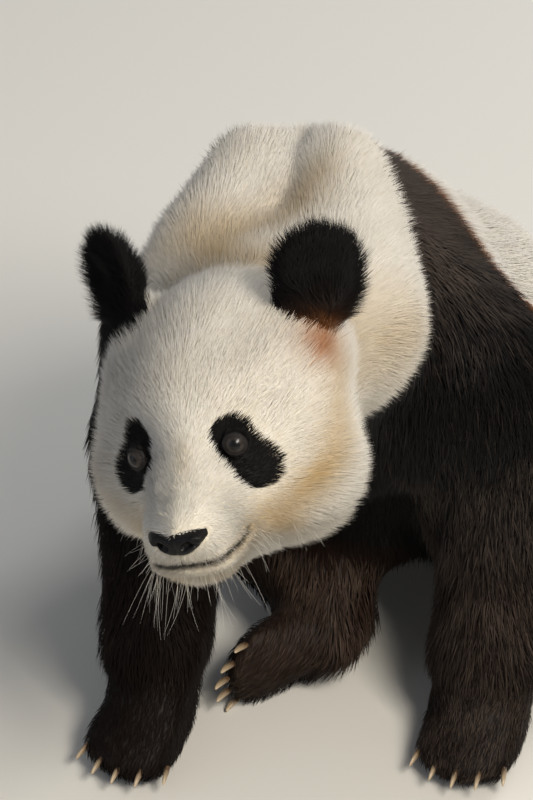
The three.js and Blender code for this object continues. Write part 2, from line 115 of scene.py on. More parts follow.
class PandaCoat(bpy.types.PropertyGroup):
    """The coat's lengths, numbers and colours."""
    muzzle_length: length("Muzzle hair", "Hair length beside the nose", 0.008)
    cheek_length: length("Cheek hair", "Hair length at the back of the head", 0.027)
    neck_length: length("Neck hair", "Hair length on the neck", 0.027)
    trunk_length: length("Trunk hair", "Hair length on the back, flanks and belly", 0.044)
    leg_length: length("Leg hair", "Hair length on shoulders and legs", 0.036)
    paw_length: length("Paw hair", "Hair length on the feet", 0.018)
    ear_length: length("Ear hair", "Hair length on the ears", 0.024)
    thousands: IntProperty(name="Tufts", description="Thousands of tufts in the whole coat, if each is bent",
                           default=244, min=10, max=250)
    seed: IntProperty(name="Seed", description="Fixes the scatter of the tufts", default=7)
    white: colour("White fur", "Tips of the pale fur", "#E5E1D9")
    cream: colour("Cream", "Depth of the pale fur", "#CCC3AF")
    ochre: colour("Ochre", "Stained pale fur in folds and on the cheeks", "#A98A52")
    russet: colour("Russet", "Bright brown fur at the roots of the ears", "#9C5C22")
    black: colour("Black fur", "Base of the dark fur", "#080606")
    # Brown tips of the dark fur; the same colour is laid on as painted sheen where light falls on the dark
    # fur.
    rust_and_sheen: colour("Rust", "Sun-bleached tips of the dark fur", "#4B413A")


class PandaFace(bpy.types.PropertyGroup):
    """The sizes and colours of eyes, nose, lids and whiskers."""
    lid: length("Lid", "Thickness of the eyelids", 0.0017)
    opening: FloatProperty(name="Eye opening", description="Height of the opening, in eye radii",
                           default=0.74, min=0.1, max=1)
    nose_dent: length("Nostril depth", "How deep the nostrils go", 0.0042)
    iris: colour("Iris", "Brown of the iris", "#1D1815")
    nose: colour("Nose", "Leather of the nose pad", "#040303")
    claw: colour("Claw", "Horn of the claws", "#B9A68A")
    whiskers: IntProperty(name="Whiskers", description="Bristles on chin, lips and jaw",
                          default=140, min=0)


class PandaStage(bpy.types.PropertyGroup):
    """The camera's place and the studio."""
    azimuth: FloatProperty(name="Azimuth", description="Camera round to the animal's left",
                           default=math.radians(15), subtype="ANGLE", unit="ROTATION")
    elevation: FloatProperty(name="Elevation", description="Camera's height as an angle",
                             default=math.radians(35), subtype="ANGLE", unit="ROTATION")
    distance: length("Distance", "Camera to the point it looks at", 4.6)
    shown: length("Height shown", "Height of the picture at that point", 0.851)
    floor: colour("Floor", "Pale studio floor", "#D5D2CB")


# ---- arrays and small helpers

def smoothstep(low, high, x):
    """0 at low and beyond, 1 at high and beyond, and an even curve between; low may be the larger."""
    t = np.clip((x - low) / (high - low), 0, 1)
    return t * t * (3 - 2 * t)


def fade(distance, width, power=2):
    """1 at no distance, about a third at the width, and next to nothing at twice the width."""
    return np.exp(-(distance / width) ** power)


def reach(v):
    """The length of each row of v."""
    return np.linalg.norm(v, axis=1)


def unit(v):
    """Rows of v at length 1."""
    return v / np.maximum(np.linalg.norm(v, axis=-1, keepdims=True), 1e-9)


def flat_to(v, normal):
    """v laid flat against the surface with that normal, at length 1."""
    return unit(v - (v * normal).sum(1, keepdims=True) * normal)


def on_head(p):
    """Points of the frame on the head's own axes."""
    return (np.asarray(p) - np.array(HEAD_AT)) @ np.array(HEAD_TURN)


def off_head(v):
    """Directions on the head's axes, turned into the frame."""
    return np.asarray(v) @ np.array(HEAD_TURN).T


def mirrored(h):
    """Head points with both halves of the face laid on the left one."""
    return np.abs(h[:, :1]) * (1, 0, 0) + h * (0, 1, 1)


def from_nose(h):
    """Each head point's distance to the tip of the nose."""
    return reach(h - NOSE_TIP)


def to_segment(p, a, b):
    """Each point's distance to the segment from a to b, and how far along it the nearest place is."""
    a, b = np.asarray(a, float), np.asarray(b, float)
    t = np.clip(((p - a) @ (b - a)) / ((b - a) @ (b - a)), 0, 1)
    return reach(p - a - t[:, None] * (b - a)), t


def to_line(p, points):
    """Each point's distance to a bent line through the points."""
    return np.min([to_segment(p, a, b)[0] for a, b in zip(points, points[1:])], axis=0)


def waves(p, size, seed):
    """A smooth random value from about -1 to 1 that changes over about size metres."""
    rng = np.random.default_rng(seed)
    total = np.zeros(len(p))
    for _ in range(7):
        direction = unit(rng.normal(size=3)) * rng.uniform(0.6, 1.6) * math.pi / size
        total += np.sin(p @ direction + rng.uniform(0, 6.3))
    return total / 4


def rows_of(items, key, width, kind=float):
    """One property of all items, a row each."""
    out = np.empty(len(items) * width, kind)
    items.foreach_get(key, out)
    return out.reshape(-1, width)


def places(mesh):
    """The vertices of a mesh."""
    return rows_of(mesh.vertices, "co", 3)


def normals(mesh):
    """The vertex normals of a mesh."""
    return rows_of(mesh.vertex_normals, "vector", 3)


def edges_of(mesh):
    """The two ends of each edge."""
    return rows_of(mesh.edges, "vertices", 2, int)


def triangles_of(mesh):
    """The corners of each triangle."""
    mesh.calc_loop_triangles()
    return rows_of(mesh.loop_triangles, "vertices", 3, int)


def move(mesh, co):
    """Puts the vertices at co."""
    mesh.vertices.foreach_set("co", np.ascontiguousarray(co, float).ravel())
    mesh.update()


def relaxed(values, edges, turns):
    """Values eased halfway towards their neighbours along the edges, as many times as turns."""
    values = values.reshape(len(values), -1).astype(float)
    n = len(values)
    count = np.maximum(np.bincount(edges.ravel(), minlength=n), 1)[:, None]
    for _ in range(turns):
        columns = [np.bincount(edges[:, 0], column[edges[:, 1]], n)
                   + np.bincount(edges[:, 1], column[edges[:, 0]], n) for column in values.T]
        values = (values + np.stack(columns, axis=1) / count) / 2
    return values


def set_attribute(mesh, name, values):
    """A float for each vertex, for the materials to read."""
    layer = mesh.attributes.get(name) or mesh.attributes.new(name, "FLOAT", "POINT")
    layer.data.foreach_set("value", np.ascontiguousarray(values, np.float32))


def add_object(name, mesh):
    """A new object at the origin with that mesh."""
    item = bpy.data.objects.new(name, mesh)
    bpy.context.scene.collection.objects.link(item)
    return item


def baked(item, name):
    """The item's mesh with its modifiers in it, as a plain new object; the item goes."""
    shape = bpy.data.meshes.new_from_object(item.evaluated_get(bpy.context.evaluated_depsgraph_get()))
    bpy.data.objects.remove(item)
    shape.name = name
    return add_object(name, shape)


def joined(nodes, name):
    """Copies of the solids in one mesh."""
    bm = bmesh.new()
    for n in nodes:
        bm.from_mesh(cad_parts[n].data)
    mesh = bpy.data.meshes.new(name)
    bm.to_mesh(mesh)
    bm.free()
    return add_object(name, mesh)


def voxelled(item, size, name):
    """One even shell round the item, without its inner walls."""
    cover = item.modifiers.new("even shell", "REMESH")
    cover.mode = "VOXEL"
    cover.voxel_size = size
    return baked(item, name)


def finish_piece(item, cover, nodes=()):
    """Gives a piece its material and smooth shading, and ties it to the frame."""
    item.data.materials.clear()
    item.data.materials.append(cover)
    item.data.polygons.foreach_set("use_smooth", np.ones(len(item.data.polygons), bool))
    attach(item, "root")
    if nodes:
        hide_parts(*nodes)
    return item


# ---- materials

def node(tree, kind, settings=None, inputs=None):
    """Adds a node. Settings are its properties; an input takes a value or another node's output."""
    made = tree.nodes.new(kind)
    for key, value in (settings or {}).items():
        setattr(made, key, value)
    for key, value in (inputs or {}).items():
        if isinstance(value, bpy.types.NodeSocket):
            tree.links.new(value, made.inputs[key])
        else:
            made.inputs[key].default_value = value
    return made


def material(name, look, *settings):
    """A new material. The look adds its own nodes to the tree and returns what its shader takes."""
    made = bpy.data.materials.new(name)
    made.use_nodes = True
    tree = made.node_tree
    tree.nodes.clear()
    shader = node(tree, "ShaderNodeBsdfPrincipled", None, look(tree, *settings))
    node(tree, "ShaderNodeOutputMaterial", None, {"Surface": shader.outputs[0]})
    return made


def rgba(value):
    """A picked colour with its alpha."""
    return tuple(value) + (1.0,)


COLOURS = {"data_type": "RGBA"}  # for a mix of colours: input 0 takes the second's share, 6 and 7 the two


def layered(tree, base, layers):
    """Tints laid over a base, each covering more as its value rises from low to high, up to a most."""
    for value, low, high, most, tint in layers:
        cover = node(tree, "ShaderNodeMapRange", None,
                     {"Value": value, "From Min": low, "From Max": high, "To Max": most}).outputs[0]
        base = node(tree, "ShaderNodeMix", COLOURS, {0: cover, 6: base, 7: tint}).outputs[2]
    return base


def coat_colour(tree, coat):
    """The colour of fur and skin from the marks on the mesh: dark, stain, russet, tip and tone, whose tone
    also carries painted shade and painted sheen.
    """
    dark, stain, russet, tip, tone = (
        node(tree, "ShaderNodeAttribute", {"attribute_name": mark}).outputs["Fac"]
        for mark in ("dark", "stain", "russet", "tip", "tone"))
    outer = node(tree, "ShaderNodeMapRange", None, {"Value": tip, "From Max": 0.7}).outputs[0]
    # Pale fur greyed where the tone is low: tone that differs at random from tuft to tuft, and painted shade
    # under the chin.
    shade = node(tree, "ShaderNodeMapRange", None,
                 {"Value": tone, "From Max": 0.5, "To Min": 0.34, "To Max": 0.0}).outputs[0]
    # Dark fur turns to the rust colour where the tone is high: brown tips at random from tuft to tuft, and
    # painted sheen where the tone was raised for the light.
    bleach_and_sheen = node(tree, "ShaderNodeMapRange", None,
                  {"Value": tone, "From Min": 0.42, "To Max": 0.70}).outputs[0]
    pale = rgba(coat.cream)
    for cover, tint in ((outer, rgba(coat.white)), (shade, linear("#8A8275")), (stain, rgba(coat.ochre))):
        pale = node(tree, "ShaderNodeMix", COLOURS, {0: cover, 6: pale, 7: tint}).outputs[2]
    deep = node(tree, "ShaderNodeMix", COLOURS,
                {0: bleach_and_sheen, 6: rgba(coat.black), 7: rgba(coat.rust_and_sheen)}).outputs[2]
    both = node(tree, "ShaderNodeMix", COLOURS, {0: dark, 6: pale, 7: deep}).outputs[2]
    return node(tree, "ShaderNodeMix", COLOURS,
                {0: russet, 6: both, 7: rgba(coat.russet)}).outputs[2]


# How many cells of each pattern go into a metre. Underfur, iris fibres and horn layers are finer in life, and
# are drawn as coarse as they need to show.
UNDERFUR_GRAIN = 420  # 2.4 mm
IRIS_FIBRES = 900  # 1.1 mm
NOSE_PEBBLES = 620  # 1.6 mm
NOSE_WEAR = 60  # 17 mm
HORN_LAYERS = 260  # 3.8 mm


def guard_hair(tree, coat):
    """Guard hair: coarse keratin, soft and dull from the side with a faint sheen."""
    return {"Base Color": coat_colour(tree, coat), "Roughness": 0.68, "Specular IOR Level": 0.10,
            "Sheen Weight": 0.02, "Sheen Roughness": 0.5}


def underfur(tree, coat):
    """Skin with its underfur: the coat's own colours, matt, with a bump as fine as short hair."""
    place = node(tree, "ShaderNodeTexCoord").outputs["Object"]
    hair = node(tree, "ShaderNodeTexNoise", None,
                {"Vector": place, "Scale": UNDERFUR_GRAIN, "Detail": 3, "Roughness": 0.6}).outputs[0]
    bump = node(tree, "ShaderNodeBump", None, {"Height": hair, "Strength": 0.5, "Distance": 0.0012})
    bare = node(tree, "ShaderNodeAttribute", {"attribute_name": "bare"}).outputs["Fac"]
    base = node(tree, "ShaderNodeMix", COLOURS,
                {0: bare, 6: coat_colour(tree, coat), 7: linear("#120E0D")}).outputs[2]
    return {"Base Color": base, "Normal": bump.outputs[0], "Roughness": 0.7, "Specular IOR Level": 0.3}


# ---- landmarks

# On the head's own axes. Those of mouth, muzzle, cheek, jaw and eye patch lie on the left half, and the
# face mirrors them.
NOSE_TIP = mm(0, -178, -58)
MOUTH = mm((0, -187, -94), (18, -184.5, -94.5), (34, -181, -94), (45, -175, -92), (54, -164, -87),
           (60, -148, -83), (66, -136, -78))
MOUTH_CORNER = ((0.056, -0.160, -0.088), (0.068, -0.132, -0.074))
CLEFT = mm((0, 0, -80), (0, 0, -94))  # under the nose, seen from the front
NOSTRIL = mm((11, 0, -67), (17, 0, -64))
NOSTRIL_SLIT = mm((17, 0, -65), (26, 0, -67))
MUZZLE_SIDE = mm((44, -128, -14), (38, -158, -46))
MUZZLE_TOP = mm((32, -138, -14), (27, -164, -40))
CHEEK_TAN = mm((84, -116, -74), (101, -107, -66), (128, -94, -46), (142, -78, -33), (148, -40, -8),
               (140, 0, 40))
JAW_TAN = mm((20, -165, -116), (48, -140, -112), (84, -96, -96))
BRIDGE = mm(4, -134, 8)
PATCH_TOP = mm(55, -112, 21)
PATCH_FOOT = mm(77, -98, -21)
EAR_ROOT = mm(124, -2, 68)  # of the left ear, where its fur is tan

# The nose pad's outline seen from the front: its middle line, half its width, and three heights.
PAD_MIDDLE, PAD_HALF = -0.002, 0.0360
PAD_TOP, PAD_WIDEST, PAD_FOOT = -0.0525, -0.0560, -0.0790

# In the frame: the fold of the nape, and the stained fur along it and behind the head.
NAPE_FOLD = mm((-96, 22, 708), (-95, -16, 704), (-89, -55, 693), (-96, -90, 684), (-110, -120, 677),
               (-137, -142, 674), (-160, -158, 661), (-192, -163, 646))
NAPE_TAN = mm((-62, -50, 700), (-76, -90, 688), (-104, -116, 682), (-140, -140, 676))
BEHIND_HEAD = mm((-157, -158, 663), (-92, -205, 674), (-30, -245, 680), (32, -262, 632), (60, -210, 610))
BAND_NOTCH = mm(-100, 40, 700)  # where the white of the neck cuts into the black band
BAND_SHIFT = mm(0, 32, 0)  # high on the right, the band's borders lie this much further forward


def eye_axes(side):
    """The middle of an eye, its line of sight, and the lids' outward and upward directions."""
    centre = middle_of(EYES[side])
    gaze = off_head(unit((side * 0.30, -0.94, 0.05)))
    out = off_head((side, 0.3, -0.30))
    out = unit(out - (out @ gaze) * gaze)
    up = np.cross(gaze, out) * -side
    return centre, gaze, out, up


def lid_rim(p, side, opening):
    """1 on the rim of the lids, less inside the opening, more outside it; large away from the eye."""
    centre, gaze, out, up = eye_axes(side)
    q = p - centre
    d = unit(q)
    rim = ((d @ out) / 0.82) ** 2 + ((d @ up) / opening) ** 2
    return np.where((d @ gaze > 0.15) & (reach(q) < 0.026), rim, 9.0)


def eye_patch(h):
    """Below 0 inside the dark patch round an eye and above it outside, in metres."""
    m = mirrored(h) - (h[:, :1] < 0) * np.array((0, 0, 0.003))  # the right one sits a little higher
    flat = (1, 0.35, 1)
    edge, t = to_segment(m * flat, PATCH_TOP * flat, PATCH_FOOT * flat)
    outer = smoothstep(0, 0.010, (m - PATCH_TOP) @ np.array((0.886, 0, 0.464)))
    waist = 3.5 * outer * fade(t - 0.38, 0.22)
    edge = edge - (20 + 2.5 * t - waist) * MM
    return np.where(h[:, 1] < -0.06, edge, 0.1)


def face_marks(p):
    """The face's own dark fur, its ochre stains, deepened low on the cheeks as painted shade, and its brown
    lines, at points of the frame.
    """
    h = on_head(p)
    m = mirrored(h)
    ragged = waves(p, 0.009, 31) * 0.0012
    patch = 1 - smoothstep(-0.0015, 0.0015, eye_patch(h) + ragged)
    for name in EYES.values():
        patch = np.maximum(patch, smoothstep(0.0220, 0.0195, reach(p - middle_of(name))))
    lips, front = to_mouth(h), smoothstep(-0.05, -0.09, h[:, 1])
    corner = to_line(m, MOUTH_CORNER) + ragged
    bridge = reach((h - BRIDGE) * (1, 0.4, 0.45))
    # The cheek's tan stain is fuller low down, where it also stands in as painted shade on the underside of
    # the cheek.
    low = 0.62 + 0.38 * smoothstep(-0.02, -0.05, h[:, 2])
    stain = 0.95 * low * fade(to_line(m, CHEEK_TAN), 0.025) * (0.80 + 0.20 * waves(p, 0.05, 5))
    stain = stain + 0.22 * fade(bridge, 0.010) + 0.2 * fade(corner, 0.013)
    stain = stain * np.where(h[:, 0] > -0.02, 1.0, 0.35) + 0.40 * fade(to_line(m, JAW_TAN), 0.018)
    stain = stain + 0.25 * fade(lips, 0.009) * front
    stain = stain + 0.12 * smoothstep(0.10, 0.18, from_nose(h))
    brown = 0.85 * fade(corner, 0.0062) * np.where(h[:, 0] > 0, 1, 0.6)
    brown = np.maximum(brown, 0.20 * fade(bridge, 0.007) * (1 + waves(p, 0.006, 37)))
    brown = np.maximum(brown, 0.95 * fade(lips, 0.0054) * front)
    brown = np.maximum(brown, 0.32 * fade(lips, 0.0085) * (1 + waves(p, 0.005, 61)) * front)
    return patch, np.clip(stain, 0, 1), brown


def bare_rims(p, opening):
    """1 on the bare skin along the lips and round the eyes, at points of the frame."""
    h = on_head(p)
    bare = fade(to_mouth(h), 0.0043, 4) * smoothstep(-0.05, -0.09, h[:, 1])
    for side in EYES:
        bare = np.maximum(bare, 1 - smoothstep(1.3, 1.7, lid_rim(p, side, opening)))
    return np.clip(bare, 0, 1)


# ---- skin

SKIN_VOXEL = 0.007
SKIN_OFF_FLOOR, TUFTS_OFF_FLOOR = 0.0012, 0.0006
NAPE_DEPTH, CREASE_DEPTH = 0.012, 0.006  # of the nape's wide fold, and of the sharp crease in it
MUZZLE_SWELL, MUZZLE_RISE = 0.005, 0.0045  # how far its sides are filled out and its top raised
LEAST_DEPTH = 0.0008  # of the skin under the coat's tips
# How much further the skin lies under them, behind the head.
UNDER_COAT = ((["neck"], 0.0035), (["trunk"], 0.0095), (["shoulders"], 0.009), (FORE, 0.0055),
              (HIND, 0.010), (["tail"], 0.010), (EARS, 0.0065), (FORE_PAWS + HIND_PAWS, 0.006))


def beyond_face_detail(p):
    """How far points lie outside the parts of the face that need a fine mesh: mouth, nose and eyes."""
    h = on_head(p)
    far = np.minimum(to_line(mirrored(h), MOUTH) - 0.014, from_nose(h) - 0.042)
    for name in EYES.values():
        far = np.minimum(far, reach(p - middle_of(name)) - 0.024)
    return far


def finer_face(item):
    """Splits the faces round eyes, nose and mouth, twice over."""
    bm = bmesh.new()
    bm.from_mesh(item.data)
    for margin in (0.012, 0.003):
        bm.verts.ensure_lookup_table()
        near = beyond_face_detail(np.array([v.co for v in bm.verts])) < margin
        cut = [e for e in bm.edges if near[e.verts[0].index] and near[e.verts[1].index]]
        bmesh.ops.subdivide_edges(bm, edges=cut, cuts=1, use_grid_fill=True)
        bm.verts.index_update()
    bmesh.ops.triangulate(bm, faces=[f for f in bm.faces if len(f.verts) > 4])
    bm.to_mesh(item.data)
    bm.free()
    item.data.update()


def shares_of_solids(co, edges):
    """How much of each vertex belongs to each solid of flesh, eased over their borders."""
    corners, faces, owner = [], [], []
    for k, name in enumerate(FLESH):
        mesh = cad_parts[name].data
        tri = triangles_of(mesh) + sum(len(c) for c in corners)
        corners.append(places(mesh))
        faces.append(tri)
        owner += [k] * len(tri)
    tree = BVHTree.FromPolygons(np.concatenate(corners).tolist(), np.concatenate(faces).tolist())
    nearest = np.array([owner[tree.find_nearest(p)[2]] for p in co.tolist()])
    return relaxed(np.eye(len(FLESH))[nearest], edges, 5)


def share(shares, names):
    """The summed share of some solids."""
    return shares[:, [FLESH.index(n) for n in names]].sum(1)


def coat_depth(p, shares):
    """How far the skin lies under the tips of the coat, in metres."""
    h = on_head(p)
    fringe = 0.006 + 0.003 * smoothstep(-0.03, 0.02, h[:, 1]) + 0.005 * smoothstep(0.09, 0.13, h[:, 0])
    fringe = fringe * cheek_fringe(h)
    chin = 0.0045 * smoothstep(-0.100, -0.112, h[:, 2]) * smoothstep(-0.11, -0.13, h[:, 1])
    back = 0.0060 * smoothstep(0.05, 0.24, from_nose(h))
    depth = share(shares, ["head"]) * (0.0022 + back + fringe + chin)
    for names, deep in UNDER_COAT:
        depth = depth + deep * share(shares, names)
    return depth * smoothstep(0.0, 0.03, p[:, 2]) + LEAST_DEPTH


def cheek_fringe(h):
    """1 along the edge of the cheeks and the jaw, where the hair is long and stands out."""
    cheek = smoothstep(0.080, 0.115, np.abs(h[:, 0])) * smoothstep(0.05, -0.02, h[:, 2])
    return np.maximum(cheek, smoothstep(-0.085, -0.115, h[:, 2]) * smoothstep(-0.165, -0.12, h[:, 1]))


SKIN = {}  # what the coat grows on: the skin's arrays, filled by the skin's operator


def make_skin(coat, face):
    """One skin over the whole body, under the coat's depth, with lids, lips and nose bed."""
    item = voxelled(joined([*FLESH, "nose", *EYES.values()], "flesh"), SKIN_VOXEL, "skin")
    co, edges = places(item.data), edges_of(item.data)
    shares = shares_of_solids(co, edges)
    head = share(shares, ["head"] + EARS)[:, None]
    co = head * relaxed(co, edges, 3) + (1 - head) * relaxed(co, edges, 12)
    move(item.data, co)
    co = co - normals(item.data) * relaxed(coat_depth(co, shares), edges, 4)
    co = head * relaxed(co, edges, 1) + (1 - head) * relaxed(co, edges, 3)
    co = with_folds(co, normals(item.data), head[:, 0], share(shares, ["neck"]))
    move(item.data, co)
    finer_face(item)
    co, edges = places(item.data), edges_of(item.data)
    fine = smoothstep(0.010, 0.0, beyond_face_detail(co))[:, None]
    co = fine * relaxed(co, edges, 7) + (1 - fine) * co
    move(item.data, co)
    SKIN["mouth"] = mouth_on_skin(co)
    co = with_lips(co, normals(item.data))
    for side in EYES:
        co = with_lids(co, side, face)
    move(item.data, co)
    mark_skin(item.data, shares_of_solids(co, edges), face)
    return finish_piece(item, material("skin_and_underfur", underfur, coat), FLESH)


def with_folds(co, normal, head, neck):
    """The nape's fold pressed in, the muzzle filled out, and everything kept off the floor."""
    fold = fade(to_line(co, NAPE_FOLD), 0.042) * neck
    crease = fade(to_line(co, NAPE_FOLD[:4]), 0.015)
    muzzle = fade(to_line(mirrored(on_head(co)), MUZZLE_SIDE), 0.020) * head
    sink = NAPE_DEPTH * fold + CREASE_DEPTH * crease - MUZZLE_SWELL * muzzle
    co = co - normal * sink[:, None]
    co[:, 2] = np.maximum(co[:, 2], SKIN_OFF_FLOOR)
    top = fade(to_line(mirrored(on_head(co)), MUZZLE_TOP), 0.014) * head
    return co + off_head((0, -0.5, 0.85)) * (MUZZLE_RISE * top)[:, None]


def mouth_on_skin(co):
    """The line of the closed mouth laid on the skin, on the head's axes."""
    h = mirrored(on_head(co))
    line = [a + (b - a) * t for a, b in zip(MOUTH, MOUTH[1:]) for t in (0.0, 0.25, 0.5, 0.75)]
    return np.array([h[np.argmin(reach(h - place))] for place in line + [MOUTH[-1]]])


def to_mouth(h):
    """Each head point's distance to the line of the closed mouth."""
    return to_line(mirrored(h), SKIN["mouth"])


def pad_edge(h):
    """Below 0 inside the outline of the nose pad and above it outside, seen from the front, in metres."""
    across, high = np.abs(h[:, 0] - PAD_MIDDLE), h[:, 2] + 0.06 * np.minimum(h[:, 0], 0)
    down = np.clip((PAD_WIDEST - high) / 0.0245, 0, 1)
    narrowed = np.where(h[:, 0] > PAD_MIDDLE, (1 - down ** 2) ** 0.75, 1 - down ** 1.3)
    side = across - PAD_HALF * narrowed
    top = high - PAD_TOP + 0.0030 * fade(across, 0.012)
    return np.maximum(np.maximum(side, top), PAD_FOOT - high)


def with_lips(co, normal):
    """The closed mouth's line pressed in, the lips beside it, the cleft under the nose and the nose's bed."""
    h = on_head(co)
    lips = to_mouth(h)
    groove = 0.0065 * fade(lips, 0.0032)
    roll = 0.0010 * fade(lips - 0.0075, 0.003)
    lower_lip = 0.0020 * (fade(lips - 0.009, 0.005) * smoothstep(-0.090, -0.098, h[:, 2]))
    cleft = 0.0014 * fade(to_line(h * (1, 0, 1), CLEFT), 0.0020) * (h[:, 1] < -0.16)
    co = co - normal * np.where(h[:, 1] < -0.12, groove - roll - lower_lip + cleft, 0)[:, None]
    bed = smoothstep(-0.001, -0.006, pad_edge(h)) * smoothstep(-0.155, -0.165, h[:, 1])
    return co + off_head((0.0, 1.0, 0.0)) * (0.010 * bed)[:, None]


def with_lids(co, side, face):
    """Lids drawn over the eyeball round an almond opening, behind which the skin goes under the eye."""
    centre = middle_of(EYES[side])
    q = co - centre
    r = reach(q)
    rim = lid_rim(co, side, face.opening)
    lid = EYE_RADIUS + face.lid * (1 + 0.5 * fade(rim - 1.15, 0.25))
    fold = 0.0007 * fade(rim - 2.3, 0.35)
    blend = smoothstep(0.86, 1.12, rim)
    under = 0.80 * EYE_RADIUS
    radius = np.where(rim < 8, blend * (np.maximum(r, lid) - fold) + (1 - blend) * under, r)
    return centre + q / np.maximum(r, 1e-6)[:, None] * radius[:, None]


def mark_skin(mesh, shares, face):
    """Stores the markings and the lie of the coat on the skin. A mark is taken where the hair rooted
    there shows, part way up and along it, so that borders lie where the coat's outside has them."""
    co, normal, edges = places(mesh), normals(mesh), edges_of(mesh)
    SKIN.update(co=co, normal=normal, edges=edges, tri=triangles_of(mesh), shares=shares)
    SKIN.update(lie_of_coat(co, normal, shares), bald=bald_spots(co, face))
    shown = showing_place(co, normal, SKIN["comb"], SKIN["long"], SKIN["lift"])
    right = smoothstep(-0.10, -0.17, co[:, :1]) * smoothstep(0.44, 0.52, co[:, 2:])
    outer = shares_of_solids(shown + right * BAND_SHIFT, edges)
    ear_tan = fade(reach(on_head(shown) - EAR_ROOT), 0.027)
    patch, stain, brown = face_marks(shown)
    head = share(shares, ["head"])
    SKIN["dark"] = body_dark(co, shown, shares, outer) * (1 - 0.5 * ear_tan)
    SKIN["stain"] = np.clip(stain * head + body_stain(shown, shares), 0, 1)
    SKIN["russet"] = body_russet(co, outer, ear_tan * (1 - 0.7 * share(shares, EARS)))
    all_dark = np.maximum(SKIN["dark"], np.maximum(patch, brown) * head)
    marks = {"dark": smoothstep(0.35, 0.65, all_dark), "bare": bare_rims(co, face.opening) * head,
             "stain": SKIN["stain"], "russet": SKIN["russet"], "tip": np.full(len(co), 0.1),
             "tone": np.clip(0.30 + 0.2 * waves(co, 0.02, 3), 0, 1)}
    for name, values in marks.items():
        set_attribute(mesh, name, values)


def body_dark(co, shown, shares, outer):
    """1 in the black fur of ears, shoulders, chest and legs, from the solids under the skin's vertices
    and from the outer ones, which lie where the hair shows."""
    inland = relaxed(share(shares, BLACK_NODES), SKIN["edges"], 12)[:, 0]
    dark = share(outer, BLACK_NODES)
    dark = np.where(inland < 0.5, dark * smoothstep(0.01, 0.06, inland), dark)
    dark = np.maximum(dark, smoothstep(0.94, 0.99, inland))
    chest = share(outer, ["trunk"]) * smoothstep(0.16, 0.10, co[:, 1]) * smoothstep(0.46, 0.40, co[:, 2])
    return np.clip(dark + chest - 2 * fade(reach(shown - BAND_NOTCH), 0.045), 0, 1)


def body_russet(co, outer, ear_tan):
    """Bright brown behind the black band, at the root of the left ear and, faintly, low on the legs."""
    behind_band = np.minimum(4 * share(outer, ["shoulders"] + FORE) * share(outer, ["trunk"]), 1)
    behind_band = behind_band * smoothstep(0.36, 0.44, co[:, 2])
    low_legs = 0.028 * share(outer, HIND + HIND_PAWS) * smoothstep(0.40, 0.20, co[:, 2])
    low_legs = low_legs + 0.012 * share(outer, FORE + FORE_PAWS) * smoothstep(0.32, 0.18, co[:, 2])
    return np.clip(0.60 * behind_band + 0.9 * ear_tan + low_legs, 0, 1)


def aimed(comb, normal, angle):
    """The direction of a hair that follows the comb and stands up by the angle."""
    return comb * np.cos(angle)[:, None] + normal * np.sin(angle)[:, None]


def showing_place(root, normal, comb, long, lift):
    """Where a hair's outer half shows."""
    return root + aimed(comb, normal, lift) * (0.6 * long)[:, None]


def body_stain(p, shares):
    """Ochre in the neck's folds behind the head and low on the rump."""
    fold = 0.72 * fade(to_line(p, NAPE_TAN), 0.031)
    behind = 0.62 * fade(to_line(p, BEHIND_HEAD), 0.050)
    stain = np.maximum(fold, behind) * share(shares, ["neck", "head"])
    stain = stain + 0.12 * share(shares, ["neck", "trunk"])
    low = share(shares, ["trunk", "tail"]) * smoothstep(0.22, 0.02, p[:, 2]) * 0.30
    return (stain + low) * (0.8 + 0.2 * waves(p, 0.05, 11))


# ---- the lie of the coat

# Which way the hair lies on the solids that have no direction of their own.
FALLS = {"neck": (0.0, 0.85, -0.45), "trunk": (0.0, 0.60, -0.75), "shoulders": (0.0, 0.30, -0.95),
         "tail": (0.0, 0.80, -0.60)}
# Behind the head: which length the hair takes and how much of it, and a tuft's width and its lift in degrees.
TUFTS = ((["neck"], "neck_length", 1, 0.0008, 15), (["trunk"], "trunk_length", 1, 0.0014, 12),
         (["shoulders"], "leg_length", 1, 0.0011, 15), (["tail"], "trunk_length", 0.9, 0.0014, 18),
         (FORE, "leg_length", 0.95, 0.0014, 24), (HIND, "leg_length", 1, 0.0020, 20),
         (FORE_PAWS + HIND_PAWS, "paw_length", 1, 0.0013, 22), (EARS, "ear_length", 1, 0.0010, 44))


def lie_of_coat(p, normal, shares):
    """Which way the hair lies at each vertex, how long and wide a tuft is and how far it stands up."""
    h = on_head(p)
    low = smoothstep(0.02, -0.10, h[:, 2])[:, None]
    sides = np.sign(h[:, :1]) * 0.25
    away = unit(h - NOSE_TIP) + low * np.array((0, 0.15, -0.45)) + sides * (1, 0, 0)
    flow = {name: np.broadcast_to(way, p.shape) for name, way in FALLS.items()}
    flow["head"] = off_head(unit(away))
    for name in FORE + HIND:
        flow[name] = np.broadcast_to(way_down(name), p.shape)
    for name in FORE_PAWS + HIND_PAWS:
        flow[name] = np.broadcast_to(toe_direction(name) + np.array((0, 0, -0.25)), p.shape)
    for name in EARS:
        root = middle_of(name) - off_head((0, 0, 0.05))
        flow[name] = unit(p - root)
    comb = sum(shares[:, k:k + 1] * flow[name] for k, name in enumerate(FLESH))
    comb = flat_to(relaxed(flat_to(comb, normal), SKIN["edges"], 6), normal)
    sizes = tuft_sizes(h, shares, bpy.context.scene.panda_coat)
    plush = share(shares, ["shoulders"]) * smoothstep(0.44, 0.58, p[:, 2])
    sizes["long"] = sizes["long"] * (1 - 0.33 * plush)
    sizes["lift"] = sizes["lift"] * (1 + 0.40 * plush)
    return {"comb": comb, **sizes}


